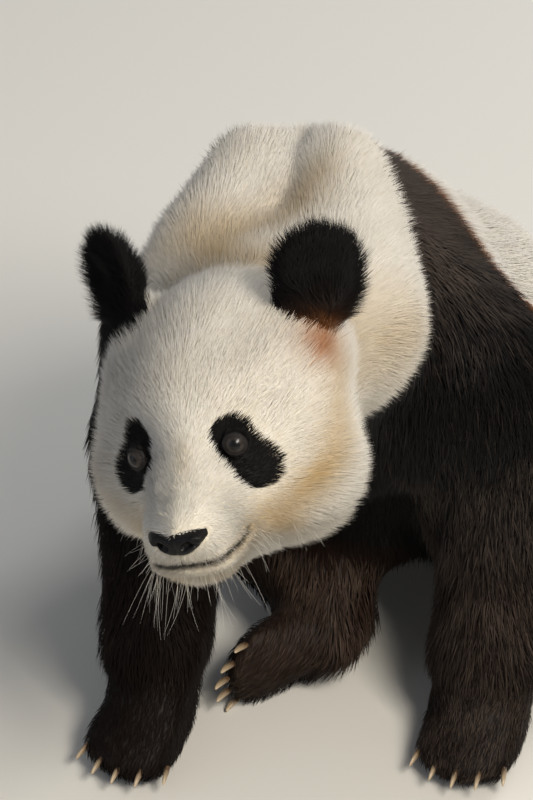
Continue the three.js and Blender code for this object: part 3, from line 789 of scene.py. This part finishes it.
def tuft_sizes(h, shares, coat):
    """How long and wide a tuft is at each vertex, and how far it stands up from the skin."""
    back = smoothstep(0.03, 0.24, from_nose(h))
    lips = smoothstep(0.003, 0.018, to_mouth(h)) + (h[:, 1] > -0.12)
    patch = smoothstep(0.004, -0.004, eye_patch(h))
    fringe = np.maximum(cheek_fringe(h), smoothstep(-0.098, -0.108, h[:, 2]))
    nose_rim = fade(np.maximum(pad_edge(h), 0), 0.006) * (h[:, 1] < -0.14)
    head_long = coat.muzzle_length + (coat.cheek_length - coat.muzzle_length) * back
    head_long = head_long + 0.004 * fringe
    head_long = head_long * (1 - 0.3 * patch) * (0.6 + 0.4 * np.minimum(lips, 1))
    head_lift = 22 - 4 * back + 12 * fringe - 5 * patch + 22 * nose_rim
    sizes = {"head": (head_long, 0.00098 - 0.00006 * back, head_lift)}
    for names, length_key, part, wide, lift in TUFTS:
        sizes.update({name: (getattr(coat, length_key) * part, wide, lift) for name in names})
    long, wide, lift = (sum(shares[:, k] * sizes[name][part] for k, name in enumerate(FLESH))
                        for part in range(3))
    return {"long": long, "wide": wide, "lift": np.radians(lift)}


def way_down(name):
    """Down a leg, from the middle of its top to the middle of its paw."""
    low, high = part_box(name)
    top = np.array((low + high) / 2)
    top[2] = high[2]
    return unit(middle_of(name.replace("leg", "paw")) - top)


def toe_direction(name):
    """From a paw's middle towards the middle of its claws, level."""
    claws = [middle_of(name.replace("paw", f"claw_{k}")) for k in range(1, 6)]
    return unit((np.mean(claws, axis=0) - middle_of(name)) * (1, 1, 0))


# ---- coat

BEND, BEYOND_BEND = 0.42, 0.58  # the two stretches of a bent tuft
ROOT_DEPTH = 0.0008  # how far a tuft starts under the skin
# The two kinds of tuft: their triangles, and each corner's place on the tuft's map and along its length.
STRAIGHT = (((0, 2, 1), (3, 0, 2), (3, 2, 1), (3, 1, 0)),
            ((0.0, 0.0), (1.0, 0.0), (0.5, 0.2), (0.5, 1.0)),
            (0.05, 0.05, 0.05, 1.0))
BENT = (((0, 3, 1), (0, 2, 3), (0, 1, 2), (4, 1, 3), (4, 3, 2), (4, 2, 1)),
        ((0.5, 0.0), (0.0, 0.45), (1.0, 0.45), (0.5, 0.55), (0.5, 1.0)),
        (0, BEND, BEND, BEND, 1.0))
# Each piece of coat: its solids, its share of all triangles, its kind of tuft, and which measure parts it
# from the next piece, with its stretch: the distance to the nose, or the place along the body.
COAT_PIECES = [
    ("coat_face", ["head"], 0.096, STRAIGHT, ("from_nose", 0.0, 0.130)),
    ("coat_cheeks", ["head"], 0.100, STRAIGHT, ("from_nose", 0.130, 0.215)),
    ("coat_crown", ["head"], 0.084, STRAIGHT, ("from_nose", 0.215, 1.0)),
    ("coat_ears", EARS, 0.040, STRAIGHT, None),
    ("coat_neck", ["neck"], 0.118, STRAIGHT, None),
    ("coat_shoulders", ["shoulders"], 0.104, STRAIGHT, None),
    ("coat_foreleg_left", [FORE[0], FORE_PAWS[0]], 0.098, BENT, None),
    ("coat_foreleg_right", [FORE[1], FORE_PAWS[1]], 0.094, BENT, None),
    ("coat_hind_legs", HIND + HIND_PAWS, 0.084, BENT, None),
    ("coat_flanks", ["trunk"], 0.112, STRAIGHT, ("along_body", -1.0, 0.26)),
    ("coat_rump", ["trunk", "tail"], 0.084, STRAIGHT, ("along_body", 0.26, 1.0)),
]
PATCH = 0.003  # each tuft's patch on its map


def unwrapped(co, tri):
    """An unwrap of a stretch of skin: the map places of each triangle's corners."""
    used, index = np.unique(tri, return_inverse=True)
    mesh = bpy.data.meshes.new("stretch_of_skin")
    mesh.from_pydata(co[used].tolist(), [], index.reshape(-1, 3).tolist())
    item = add_object("stretch_of_skin", mesh)
    bpy.context.view_layer.objects.active = item
    item.select_set(True)
    bpy.ops.object.mode_set(mode="EDIT")
    bpy.ops.mesh.select_all(action="SELECT")
    bpy.ops.uv.smart_project(angle_limit=math.radians(66), island_margin=0.004)
    bpy.ops.object.mode_set(mode="OBJECT")
    uv = rows_of(mesh.uv_layers.active.data, "uv", 2)
    bpy.data.objects.remove(item)
    return uv.reshape(-1, 3, 2)


def root_places(tri, count, rng):
    """Evenly scattered roots on the triangles: which triangle each is on, and its share of each corner."""
    a, b, c = (SKIN["co"][tri[:, k]] for k in range(3))
    area = reach(np.cross(b - a, c - a))
    total = np.cumsum(area * (1 - SKIN["bald"][tri].max(1)))
    picks = (np.arange(count) + rng.random(count)) / count * total[-1]
    which = np.searchsorted(total, picks)
    u, v = np.sqrt(rng.random(count)), rng.random(count)
    return which, np.stack([1 - u, u * (1 - v), u * v], axis=1)


def at_roots(key, tri, corner):
    """One of the skin's values at each root, from the corners of its triangle."""
    values = SKIN[key][tri]
    return (values * (corner[..., None] if values.ndim == 3 else corner)).sum(1)


def stretch_of(solids, band):
    """The triangles of skin that a piece of coat grows on."""
    part = np.isin(np.argmax(SKIN["shares"], axis=1), [FLESH.index(s) for s in solids])
    if band:
        measure, low, high = band
        value = SKIN["co"][:, 1] if measure == "along_body" else from_nose(on_head(SKIN["co"]))
        part = part & (value >= low) & (value < high)
    return SKIN["tri"][part[SKIN["tri"][:, 0]]]


def bald_spots(co, face):
    """Skin without hair: behind the nose pad, along the lips and inside the lids."""
    h = on_head(co)
    bald = ((pad_edge(h) < -0.0015) & (h[:, 1] < -0.15)).astype(float)
    bald = np.maximum(bald, (to_mouth(h) < 0.0031) & (h[:, 1] < -0.12))
    for side in EYES:
        bald = np.maximum(bald, lid_rim(co, side, face.opening) < 1.25)
    return bald


def tuft_corners(root, normal, comb, long, wide, lift, bent):
    """The corners of each tuft: the root of a bent one, the three of its ring, and its tip."""
    start = root - normal * ROOT_DEPTH
    if bent:
        first = aimed(comb, normal, lift * 1.15)
        centre = start + first * (long * BEND)[:, None]
        drooping = unit(aimed(comb, normal, lift * 0.45) + (0, 0, -0.12))
        end = centre + drooping * (long * BEYOND_BEND)[:, None]
    else:
        first = aimed(comb, normal, lift)
        centre = start
        end = start + first * long[:, None]
    across = np.cross(normal, comb)
    half, high = (way * (wide * 0.5)[:, None] for way in (across, np.cross(first, across)))
    corners = [start] * bent + [centre + half, centre - half, centre + high, end]
    return np.stack(corners, axis=1)


def tuft_mesh(name, corners, kind, marks, uv, normal, softness):
    """All tufts of a piece as one mesh: each is a closed spike, with a ring part way up when bent."""
    faces, spots, along = (np.array(part) for part in kind)
    n, per = corners.shape[:2]
    corners[..., 2] = np.maximum(corners[..., 2], TUFTS_OFF_FLOOR)
    mesh = bpy.data.meshes.new(name)
    mesh.vertices.add(n * per)
    mesh.vertices.foreach_set("co", corners.ravel())
    index = (faces[None] + (np.arange(n) * per)[:, None, None]).ravel()
    mesh.loops.add(len(index))
    mesh.loops.foreach_set("vertex_index", index)
    mesh.polygons.add(len(index) // 3)
    mesh.polygons.foreach_set("loop_start", np.arange(0, len(index), 3))
    mesh.update(calc_edges=True)
    layer = mesh.uv_layers.new(name="OFBake")
    spread = np.clip(uv, PATCH, 1 - PATCH)[:, None, None] + (spots[faces][None] - 0.5) * PATCH
    layer.data.foreach_set("uv", spread.ravel())
    for mark, values in marks.items():
        set_attribute(mesh, mark, np.repeat(values, per))
    set_attribute(mesh, "tip", np.tile(along, n))
    soften(mesh, np.repeat(normal, per, axis=0), np.repeat(softness, per)[:, None])
    return mesh


def soften(mesh, skin_normal, softness):
    """Turns the tufts' shading towards the body's own surface, so that the pile reads as one soft coat."""
    mesh.polygons.foreach_set("use_smooth", np.ones(len(mesh.polygons), bool))
    own = normals(mesh)
    mesh.normals_split_custom_set_from_vertices(unit(own * (1 - softness) + skin_normal * softness).tolist())


def grow_coat(name, solids, portion, kind, band, coat, number):
    """One piece of coat: tufts rooted in its stretch of skin, lying the way the coat lies."""
    rng = np.random.default_rng(coat.seed * 100 + number)
    bent = kind is BENT
    tri = stretch_of(solids, band)
    count = int(portion * coat.thousands * 1000 * len(BENT[0]) / len(kind[0]))
    which, corner = root_places(tri, count, rng)
    uv = (unwrapped(SKIN["co"], tri)[which] * corner[..., None]).sum(1)
    tri = tri[which]
    root, normal, comb = (at_roots(key, tri, corner) for key in ("co", "normal", "comb"))
    normal = unit(normal)
    long = at_roots("long", tri, corner) * rng.uniform(0.72, 1.18, count)
    wide = at_roots("wide", tri, corner) * rng.uniform(0.75, 1.25, count)
    comb = flat_to(comb, normal)
    across = np.cross(normal, comb)
    loose = 0.15 if bent else 0.11
    swing = rng.normal(0, loose, count) + 0.16 * waves(root, 0.028, 41) + 0.08 * waves(root, 0.009, 43)
    comb = unit(comb * np.cos(swing)[:, None] + across * np.sin(swing)[:, None])
    lift = at_roots("lift", tri, corner) * (1 + 0.22 * waves(root, 0.014, 47)) + rng.normal(0, 0.09, count)
    lift = np.clip(lift, 0.12, 1.3)
    corners = tuft_corners(root, normal, comb, long, wide, lift, bent)
    marks = tuft_marks(showing_place(root, normal, comb, long, lift), tri, corner, solids, rng)
    mesh = tuft_mesh(name, corners, kind, marks, uv, normal, pile_softness(root, solids))
    return finish_piece(add_object(name, mesh), material(name + "_hair", guard_hair, coat))


def pile_softness(root, solids):
    """How far each tuft is shaded as part of one soft pile, least on the short hair of the muzzle."""
    if solids == ["head"]:
        return 0.28 + 0.48 * smoothstep(0.05, 0.22, from_nose(on_head(root)))
    return np.full(len(root), {"neck": 0.93, EARS[0]: 0.60}.get(solids[0], 0.88))


def tuft_marks(shown, tri, corner, solids, rng):
    """Each tuft's share of dark fur, stain and its own tone, ragged along the borders."""
    n = len(shown)
    dark, stain, russet = (at_roots(mark, tri, corner) for mark in ("dark", "stain", "russet"))
    dark = smoothstep(0.42, 0.58, dark + rng.normal(0, 0.10, n) + 0.10 * waves(shown, 0.02, 53))
    if solids == ["head"]:
        patch, _, brown = face_marks(shown)
        patch = smoothstep(0.35, 0.65, patch + rng.normal(0, 0.16, n) * (patch > 0.02) * (patch < 0.98))
        dark = np.maximum(dark, np.maximum(patch, brown))
    tone = tuft_tone(rng.beta(2, 3, n) + 0.18 * waves(shown, 0.03, 59), shown, dark, solids)
    return {"dark": np.clip(dark, 0, 1), "stain": np.clip(stain + rng.normal(0, 0.04, n), 0, 1),
            "russet": np.clip(russet, 0, 1), "tone": np.clip(tone, 0, 1)}


def tuft_tone(tone, shown, dark, solids):
    """How light each tuft is: even on neck and trunk, with painted shade under the chin, painted light near
    the nose, and painted sheen on dark fur high up and low on the left foreleg and hind legs.
    """
    if solids[0] in ("neck", "trunk"):
        tone = 0.38 + 0.36 * (tone - 0.4)
    if solids == ["head"]:
        near = smoothstep(0.20, 0.07, from_nose(on_head(shown)))
        # Near the nose the tones spread wider, and are raised a little as painted light on the muzzle.
        tone = 0.40 + 0.05 * near + (0.60 + 0.65 * near) * (tone - 0.4)
    if solids in (["head"], EARS):
        # Painted shade: the tone is lowered under the chin, greying the pale fur there.
        under = smoothstep(-0.096, -0.108, on_head(shown)[:, 2])
        tone = tone * (1 - 0.5 * dark) * (1 - 0.8 * under)
    # Painted sheen: dark fur lightened towards the rust colour high on the body, where the light falls, and
    # low on the sunlit left foreleg and on the hind legs.
    painted_sheen = 0.75 * smoothstep(0.47, 0.66, shown[:, 2]) * (shown[:, 1] > -0.25)
    if solids[0] in [FORE[0]] + HIND:
        painted_sheen = painted_sheen + 0.38 * smoothstep(0.42, 0.30, shown[:, 2])
    return tone * (1 - 0.35 * dark) + dark * painted_sheen


# ---- eyes, nose and claws

NOSE_VOXEL = 0.0012
ROUNDING_LOSS = 0.0006  # about what a claw loses when it is rounded


def wet_eye(tree, face):
    """A wet eyeball: dark brown iris round a black pupil under a clear cornea, so it mirrors the lights
    sharply, with a pale grey ring round the iris painted as a reflection."""
    polar = node(tree, "ShaderNodeAttribute", {"attribute_name": "polar"}).outputs["Fac"]
    place = node(tree, "ShaderNodeTexCoord").outputs["Object"]
    fibres = node(tree, "ShaderNodeTexNoise", None,
                  {"Vector": place, "Scale": IRIS_FIBRES, "Detail": 2}).outputs[0]
    iris = node(tree, "ShaderNodeMix", COLOURS,
                {0: fibres, 6: rgba(face.iris), 7: linear("#2F2823")}).outputs[2]
    base = layered(tree, linear("#060505"), [(polar, 0.150, 0.175, 1, iris),
                                             # Painted reflection: a pale grey ring laid round the iris, with
                                             # dark again outside it.
                                             (polar, 0.32, 0.36, 1, linear("#4C4844")),
                                             (polar, 0.39, 0.43, 1, linear("#0B0908"))])
    return {"Base Color": base, "Roughness": 0.35, "Specular IOR Level": 0.2, "Coat Weight": 0.22,
            "Coat Roughness": 0.06}


def make_eye(side, face):
    """An eyeball with a slightly bulged cornea, looking along the eye's line of sight."""
    name = EYES[side].replace("eye", "eyeball")
    centre, gaze, out, _ = eye_axes(side)
    mesh = bpy.data.meshes.new(name)
    bm = bmesh.new()
    bmesh.ops.create_uvsphere(bm, u_segments=40, v_segments=28, radius=EYE_RADIUS)
    bm.to_mesh(mesh)
    bm.free()
    co = places(mesh)
    polar = np.arccos(np.clip(co[:, 2] / EYE_RADIUS, -1, 1)) / math.pi  # 0 in front and 1 behind
    bulge = 1 + 0.045 * smoothstep(0.21, 0.05, polar)
    turned = co * bulge[:, None] @ np.stack([out, np.cross(gaze, out), gaze])
    move(mesh, centre + turned)
    set_attribute(mesh, "polar", polar)
    item = add_object(name, mesh)
    return finish_piece(item, material("eye_wet_cornea", wet_eye, face), [EYES[side]])


def pebbled_leather(tree, face):
    """A nose pad: bare damp skin in small close pebbles, near black and a little glossy."""
    place = node(tree, "ShaderNodeTexCoord").outputs["Object"]
    pebbles = node(tree, "ShaderNodeTexVoronoi", {"feature": "SMOOTH_F1"},
                   {"Vector": place, "Scale": NOSE_PEBBLES})
    worn = node(tree, "ShaderNodeTexNoise", None,
                {"Vector": place, "Scale": NOSE_WEAR, "Detail": 3}).outputs[0]
    bump = node(tree, "ShaderNodeBump", {"invert": True},
                {"Height": pebbles.outputs["Distance"], "Strength": 0.55, "Distance": 0.0008})
    base = layered(tree, rgba(face.nose), [(worn, 0.3, 0.7, 0.55, linear("#0B0909"))])
    return {"Base Color": base, "Normal": bump.outputs[0], "Roughness": 0.42, "Specular IOR Level": 0.22}


def make_nose(face):
    """The nose pad, with comma-shaped nostrils and the groove down its middle."""
    item = voxelled(joined(["nose"], "nose_solid"), NOSE_VOXEL, "nose_pad")
    co = relaxed(places(item.data), edges_of(item.data), 14)
    h = on_head(co)
    m = mirrored(h) * (1, 0, 1)
    front = smoothstep(-0.166, -0.180, h[:, 1])
    holes = face.nose_dent * smoothstep(0.0052, 0.0016, to_line(m, NOSTRIL))
    slits = 0.0028 * smoothstep(0.0030, 0.0006, to_line(m, NOSTRIL_SLIT))
    groove = 0.0012 * fade(h[:, 0], 0.0013) * (h[:, 2] < -0.060)
    sink = (holes + slits) * front + groove + 0.012 * smoothstep(-0.0040, 0.0040, pad_edge(h))
    move(item.data, co + off_head((0.0, 1.0, 0.12)) * sink[:, None])
    return finish_piece(item, material("nose_pebbled_leather", pebbled_leather, face), ["nose"])


def horn(tree, face):
    """Claw horn: keratin in fine lengthwise layers, brown at the root and pale and waxy at the tip."""
    along = node(tree, "ShaderNodeAttribute", {"attribute_name": "along"}).outputs["Fac"]
    place = node(tree, "ShaderNodeTexCoord").outputs["Object"]
    layers = node(tree, "ShaderNodeTexNoise", None,
                  {"Vector": place, "Scale": HORN_LAYERS, "Detail": 3, "Roughness": 0.7}).outputs[0]
    base = layered(tree, linear("#4A382A"), [(along, 0.25, 0.9, 1, rgba(face.claw)),
                                             (layers, 0.42, 0.75, 0.6, linear("#8C7350"))])
    bump = node(tree, "ShaderNodeBump", None, {"Height": layers, "Strength": 0.2, "Distance": 0.0004})
    return {"Base Color": base, "Normal": bump.outputs[0], "Roughness": 0.38}


def make_claws(paw, face):
    """The five claws of a paw, rounded from their solids, with how far along its claw each vertex is."""
    nodes = [paw.replace("paw", f"claw_{k}") for k in range(1, 6)]
    name = paw.replace("paw", "claws")
    item = joined(nodes, name)
    bm = bmesh.new()
    bm.from_mesh(item.data)
    bmesh.ops.remove_doubles(bm, verts=bm.verts, dist=1e-5)
    bm.to_mesh(item.data)
    bm.free()
    co = places(item.data)
    move(item.data, co + normals(item.data) * ROUNDING_LOSS)
    rounding = item.modifiers.new("rounding", "SUBSURF")
    rounding.levels = rounding.render_levels = 2
    item = baked(item, name)
    co = places(item.data)
    along = np.zeros(len(co))
    for n in nodes:
        low, high = (np.array(c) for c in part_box(n))
        mine = np.all((co > low - 0.003) & (co < high + 0.003), axis=1)
        out = reach(co[mine] - middle_of(paw))
        along[mine] = (out - out.min()) / max(np.ptp(out), 1e-6)
    set_attribute(item.data, "along", along)
    return finish_piece(item, material("claw_horn", horn, face), nodes)


# ---- whiskers

# How far a bristle's tip bends, as a share of its length, and its radius at the root.
WHISKER_SHAPE = {"Sag": 0.30, "Thickness": 0.00019}


def stiff_hair(tree):
    """A whisker: one stiff white bristle, smooth and faintly shiny."""
    up = node(tree, "ShaderNodeAttribute", {"attribute_name": "up_the_hair"}).outputs["Fac"]
    base = node(tree, "ShaderNodeMix", COLOURS,
                {0: up, 6: linear("#9A9184"), 7: linear("#DEDBD4")}).outputs[2]
    return {"Base Color": base, "Roughness": 0.4}


def whisker_tree(cover):
    """Nodes that set a bending bristle on each point, aimed and sized by the point's own values."""
    tree = bpy.data.node_groups.new("whiskers_on_points", "GeometryNodeTree")
    for name, kind in (("Geometry", "Geometry"), ("Thickness", "Float"), ("Sag", "Float")):
        tree.interface.new_socket(name, in_out="INPUT", socket_type="NodeSocket" + kind)
    tree.interface.new_socket("Geometry", in_out="OUTPUT", socket_type="NodeSocketGeometry")
    start = node(tree, "NodeGroupInput").outputs
    bristle = node(tree, "GeometryNodeMeshCone", None,
                   {"Vertices": 5, "Side Segments": 8, "Radius Top": 0.00004, "Depth": 1.0,
                    "Radius Bottom": start["Thickness"]}).outputs["Mesh"]
    spot = node(tree, "GeometryNodeInputPosition").outputs[0]
    height = node(tree, "ShaderNodeSeparateXYZ", None, {"Vector": spot}).outputs["Z"]
    bristle = node(tree, "GeometryNodeStoreNamedAttribute", {"data_type": "FLOAT", "domain": "POINT"},
                   {"Geometry": bristle, "Name": "up_the_hair", "Value": height}).outputs[0]
    aim, bow = (node(tree, "GeometryNodeInputNamedAttribute", {"data_type": "FLOAT_VECTOR"},
                     {"Name": name}).outputs["Attribute"] for name in ("aim", "bow"))
    size, up = (node(tree, "GeometryNodeInputNamedAttribute", {"data_type": "FLOAT"},
                     {"Name": name}).outputs["Attribute"] for name in ("size", "up_the_hair"))
    turn = node(tree, "FunctionNodeAlignEulerToVector", {"axis": "Z"}, {"Vector": aim}).outputs[0]
    scale = node(tree, "ShaderNodeCombineXYZ", None, {"X": 1.0, "Y": 1.0, "Z": size}).outputs[0]
    placed = node(tree, "GeometryNodeInstanceOnPoints", None,
                  {"Points": start["Geometry"], "Instance": bristle, "Rotation": turn, "Scale": scale})
    real = node(tree, "GeometryNodeRealizeInstances", None, {"Geometry": placed.outputs[0]}).outputs[0]
    square = node(tree, "ShaderNodeMath", {"operation": "MULTIPLY"}, {0: up, 1: up}).outputs[0]
    sag = node(tree, "ShaderNodeMath", {"operation": "MULTIPLY"}, {0: square, 1: start["Sag"]}).outputs[0]
    bend = node(tree, "ShaderNodeVectorMath", {"operation": "SCALE"}, {0: bow, "Scale": sag}).outputs[0]
    bent = node(tree, "GeometryNodeSetPosition", None, {"Geometry": real, "Offset": bend}).outputs[0]
    painted = node(tree, "GeometryNodeSetMaterial", None, {"Geometry": bent, "Material": cover})
    node(tree, "NodeGroupOutput", None, {0: painted.outputs[0]})
    return tree


# Each group of bristles, on the head's axes: the heights and the depths it grows between, how far it keeps
# from the middle line and from the mouth, its share of all, its lengths and which way it is drawn.
CHIN = ((-0.125, -0.098), (-1.0, -0.125), (0.0, 0.006), 0.46, (0.012, 0.062), (0, -0.15, -1.0))
UPPER_LIP = ((-0.092, -0.070), (-1.0, -0.14), (0.02, 0.005), 0.22, (0.010, 0.034), (0, -0.1, -0.35))
JAW = ((-0.108, -0.080), (-0.135, -0.055), (0.05, 0.0), 0.32, (0.010, 0.030), (0, 0.1, -0.9))


def whisker_roots(number, rng):
    """Where the bristles stand, where they point, how long they are and how they bow."""
    co, normal = SKIN["co"], SKIN["normal"]
    h = on_head(co)
    rows = []
    for (low, high), (front, back), (aside, off), portion, (short, long), pull in (CHIN, UPPER_LIP, JAW):
        mask = (h[:, 2] > low) & (h[:, 2] < high) & (h[:, 1] > front) & (h[:, 1] < back)
        mask = mask & (np.abs(h[:, 0]) >= aside) & (to_mouth(h) >= off)
        picks = rng.choice(np.flatnonzero(mask), int(number * portion), replace=False)
        fan = np.clip(h[picks, :1] / 0.045, -1, 1) * (0.55, 0, 0)
        aim = normal[picks] * 0.55 + off_head(np.array(pull) + fan) + rng.normal(0, 0.18, (len(picks), 3))
        size = short + (long - short) * rng.random(len(picks)) ** 1.5
        bow = (np.array((0, 0, -1.0)) + rng.normal(0, 0.5, (len(picks), 3))) * size[:, None]
        rows.append((co[picks], unit(aim), size, bow))
    return (np.concatenate(column) for column in zip(*rows))


def make_whiskers(face):
    """Stiff pale bristles on chin, lips and jaw."""
    at, aim, size, bow = whisker_roots(face.whiskers, np.random.default_rng(19))
    mesh = bpy.data.meshes.new("whiskers")
    mesh.from_pydata(at.tolist(), [], [])
    for name, values in (("aim", aim), ("bow", bow)):
        mesh.attributes.new(name, "FLOAT_VECTOR", "POINT").data.foreach_set(
            "vector", np.ascontiguousarray(values, np.float32).ravel())
    set_attribute(mesh, "size", size)
    item = add_object("whiskers", mesh)
    white = material("whisker_bristle", stiff_hair)
    grower = item.modifiers.new("bristles", "NODES")
    grower.node_group = whisker_tree(white)
    for socket in grower.node_group.interface.items_tree:
        if socket.name in WHISKER_SHAPE:
            grower[socket.identifier] = WHISKER_SHAPE[socket.name]
    return finish_piece(baked(item, "whiskers"), white)


# ---- studio

def matt_paint(tree, stage):
    """Studio floor paint: an even matt coat, without a shine."""
    return {"Base Color": rgba(stage.floor), "Roughness": 0.9}


# Each light: its name, its place, the side of its square, its power and its colour.
LIGHTS = (("key", (2.2, -2.3, 3.6), 1.5, 215, "#FFF8EC"),
          ("fill", (-3.2, -2.6, 1.7), 3.0, 18, "#DDE8FF"),
          ("rim", (1.6, 3.4, 3.2), 2.0, 90, "#FFFFFF"))
AIM = HEAD_AT + Vector((0.0168, 0.0767, -0.0379))  # what the camera and the lights face
FLOOR_HALF, FLOOR_LEVEL = 9, -0.0006


def make_stage(stage):
    """The camera, a pale floor and soft lights."""
    scene = bpy.context.scene
    back = Vector((math.sin(stage.azimuth) * math.cos(stage.elevation),
                   -math.cos(stage.azimuth) * math.cos(stage.elevation), math.sin(stage.elevation)))
    camera = bpy.data.objects.new("camera", bpy.data.cameras.new("camera"))
    scene.collection.objects.link(camera)
    camera.location = AIM + back * stage.distance
    camera.rotation_euler = (-back).to_track_quat("-Z", "Y").to_euler()
    camera.data.sensor_fit = "VERTICAL"
    camera.data.sensor_height = 36
    camera.data.lens = camera.data.sensor_height * stage.distance / stage.shown
    scene.camera = camera
    mesh = bpy.data.meshes.new("floor")
    square = ((-1, -1), (1, -1), (1, 1), (-1, 1))
    corners = [(x * FLOOR_HALF, y * FLOOR_HALF, FLOOR_LEVEL) for x, y in square]
    mesh.from_pydata(corners, [], [(0, 1, 2, 3)])
    floor = add_object("floor", mesh)
    mesh.materials.append(material("floor_matt_paint", matt_paint, stage))
    for name, place, size, power, hexcode in LIGHTS:
        light(name, place, size, power, hexcode)
    world = bpy.data.worlds.new("studio")
    world.use_nodes = True
    background = world.node_tree.nodes["Background"]
    background.inputs["Color"].default_value = linear("#E6EAF0")
    background.inputs["Strength"].default_value = 0.34
    scene.world = world
    scene.view_settings.view_transform = "Standard"
    scene.view_settings.look = "None"


def light(name, place, size, power, hexcode):
    """A square soft light at a place, facing the head."""
    data = bpy.data.lights.new(name, "AREA")
    data.shape = "SQUARE"
    data.size = size
    data.energy = power
    data.color = linear(hexcode)[:3]
    item = bpy.data.objects.new(name, data)
    item.location = place
    item.rotation_euler = (AIM - Vector(place)).to_track_quat("-Z", "Y").to_euler()
    bpy.context.scene.collection.objects.link(item)


# ---- operators, panel and the run

class PANDA_OT_stage(bpy.types.Operator):
    """Set up the camera, the pale floor and the soft studio lights"""
    bl_idname = "panda.stage"
    bl_label = "Stage"

    def execute(self, context):
        make_stage(context.scene.panda_stage)
        return {"FINISHED"}


class PANDA_OT_skin(bpy.types.Operator):
    """Draw one skin over the whole body, with its lids, lips and markings"""
    bl_idname = "panda.skin"
    bl_label = "Skin"

    def execute(self, context):
        make_skin(context.scene.panda_coat, context.scene.panda_face)
        return {"FINISHED"}


class PANDA_OT_eyes(bpy.types.Operator):
    """Make both eyeballs"""
    bl_idname = "panda.eyes"
    bl_label = "Eyes"

    def execute(self, context):
        for side in EYES:
            make_eye(side, context.scene.panda_face)
        return {"FINISHED"}


class PANDA_OT_nose(bpy.types.Operator):
    """Make the nose pad with its nostrils"""
    bl_idname = "panda.nose"
    bl_label = "Nose"

    def execute(self, context):
        make_nose(context.scene.panda_face)
        return {"FINISHED"}


class PANDA_OT_claws(bpy.types.Operator):
    """Round and finish the claws of all four feet"""
    bl_idname = "panda.claws"
    bl_label = "Claws"

    def execute(self, context):
        for paw in FORE_PAWS + HIND_PAWS:
            make_claws(paw, context.scene.panda_face)
        return {"FINISHED"}


class PANDA_OT_coat(bpy.types.Operator):
    """Grow the coat over the skin, piece by piece; the skin comes first"""
    bl_idname = "panda.coat"
    bl_label = "Coat"

    def execute(self, context):
        if not SKIN:
            raise RuntimeError("the coat needs the skin")
        for number, piece in enumerate(COAT_PIECES):
            grow_coat(*piece, context.scene.panda_coat, number)
        return {"FINISHED"}


class PANDA_OT_whiskers(bpy.types.Operator):
    """Set the bristles on chin, lips and jaw; the skin comes first"""
    bl_idname = "panda.whiskers"
    bl_label = "Whiskers"

    def execute(self, context):
        make_whiskers(context.scene.panda_face)
        return {"FINISHED"}


class PANDA_PT_panel(bpy.types.Panel):
    """Lists the model's pieces and sizes in the sidebar"""
    bl_idname = "PANDA_PT_panel"
    bl_label = "Giant Panda"
    bl_space_type = "VIEW_3D"
    bl_region_type = "UI"
    bl_category = "Panda"

    def draw(self, context):
        for settings in ("panda_stage", "panda_face", "panda_coat"):
            group = getattr(context.scene, settings)
            box = self.layout.box()
            for key in group.__annotations__:
                box.prop(group, key)
        for operator in OPERATORS:
            self.layout.operator(operator.bl_idname)


SETTINGS = {"panda_stage": PandaStage, "panda_face": PandaFace, "panda_coat": PandaCoat}
OPERATORS = (PANDA_OT_stage, PANDA_OT_skin, PANDA_OT_eyes, PANDA_OT_nose, PANDA_OT_claws, PANDA_OT_coat,
             PANDA_OT_whiskers)


def register():
    """Registers the settings, operators and panel."""
    for kind in (*SETTINGS.values(), *OPERATORS, PANDA_PT_panel):
        bpy.utils.register_class(kind)
    for name, kind in SETTINGS.items():
        setattr(bpy.types.Scene, name, bpy.props.PointerProperty(type=kind))


def unregister():
    """Takes them away again."""
    for name in SETTINGS:
        delattr(bpy.types.Scene, name)
    for kind in (PANDA_PT_panel, *reversed(OPERATORS), *SETTINGS.values()):
        bpy.utils.unregister_class(kind)


def main():
    """Builds the stage and the animal."""
    register()
    for operator in OPERATORS:
        getattr(bpy.ops.panda, operator.bl_idname.split(".")[1])()


if __name__ == "__main__":
    main()
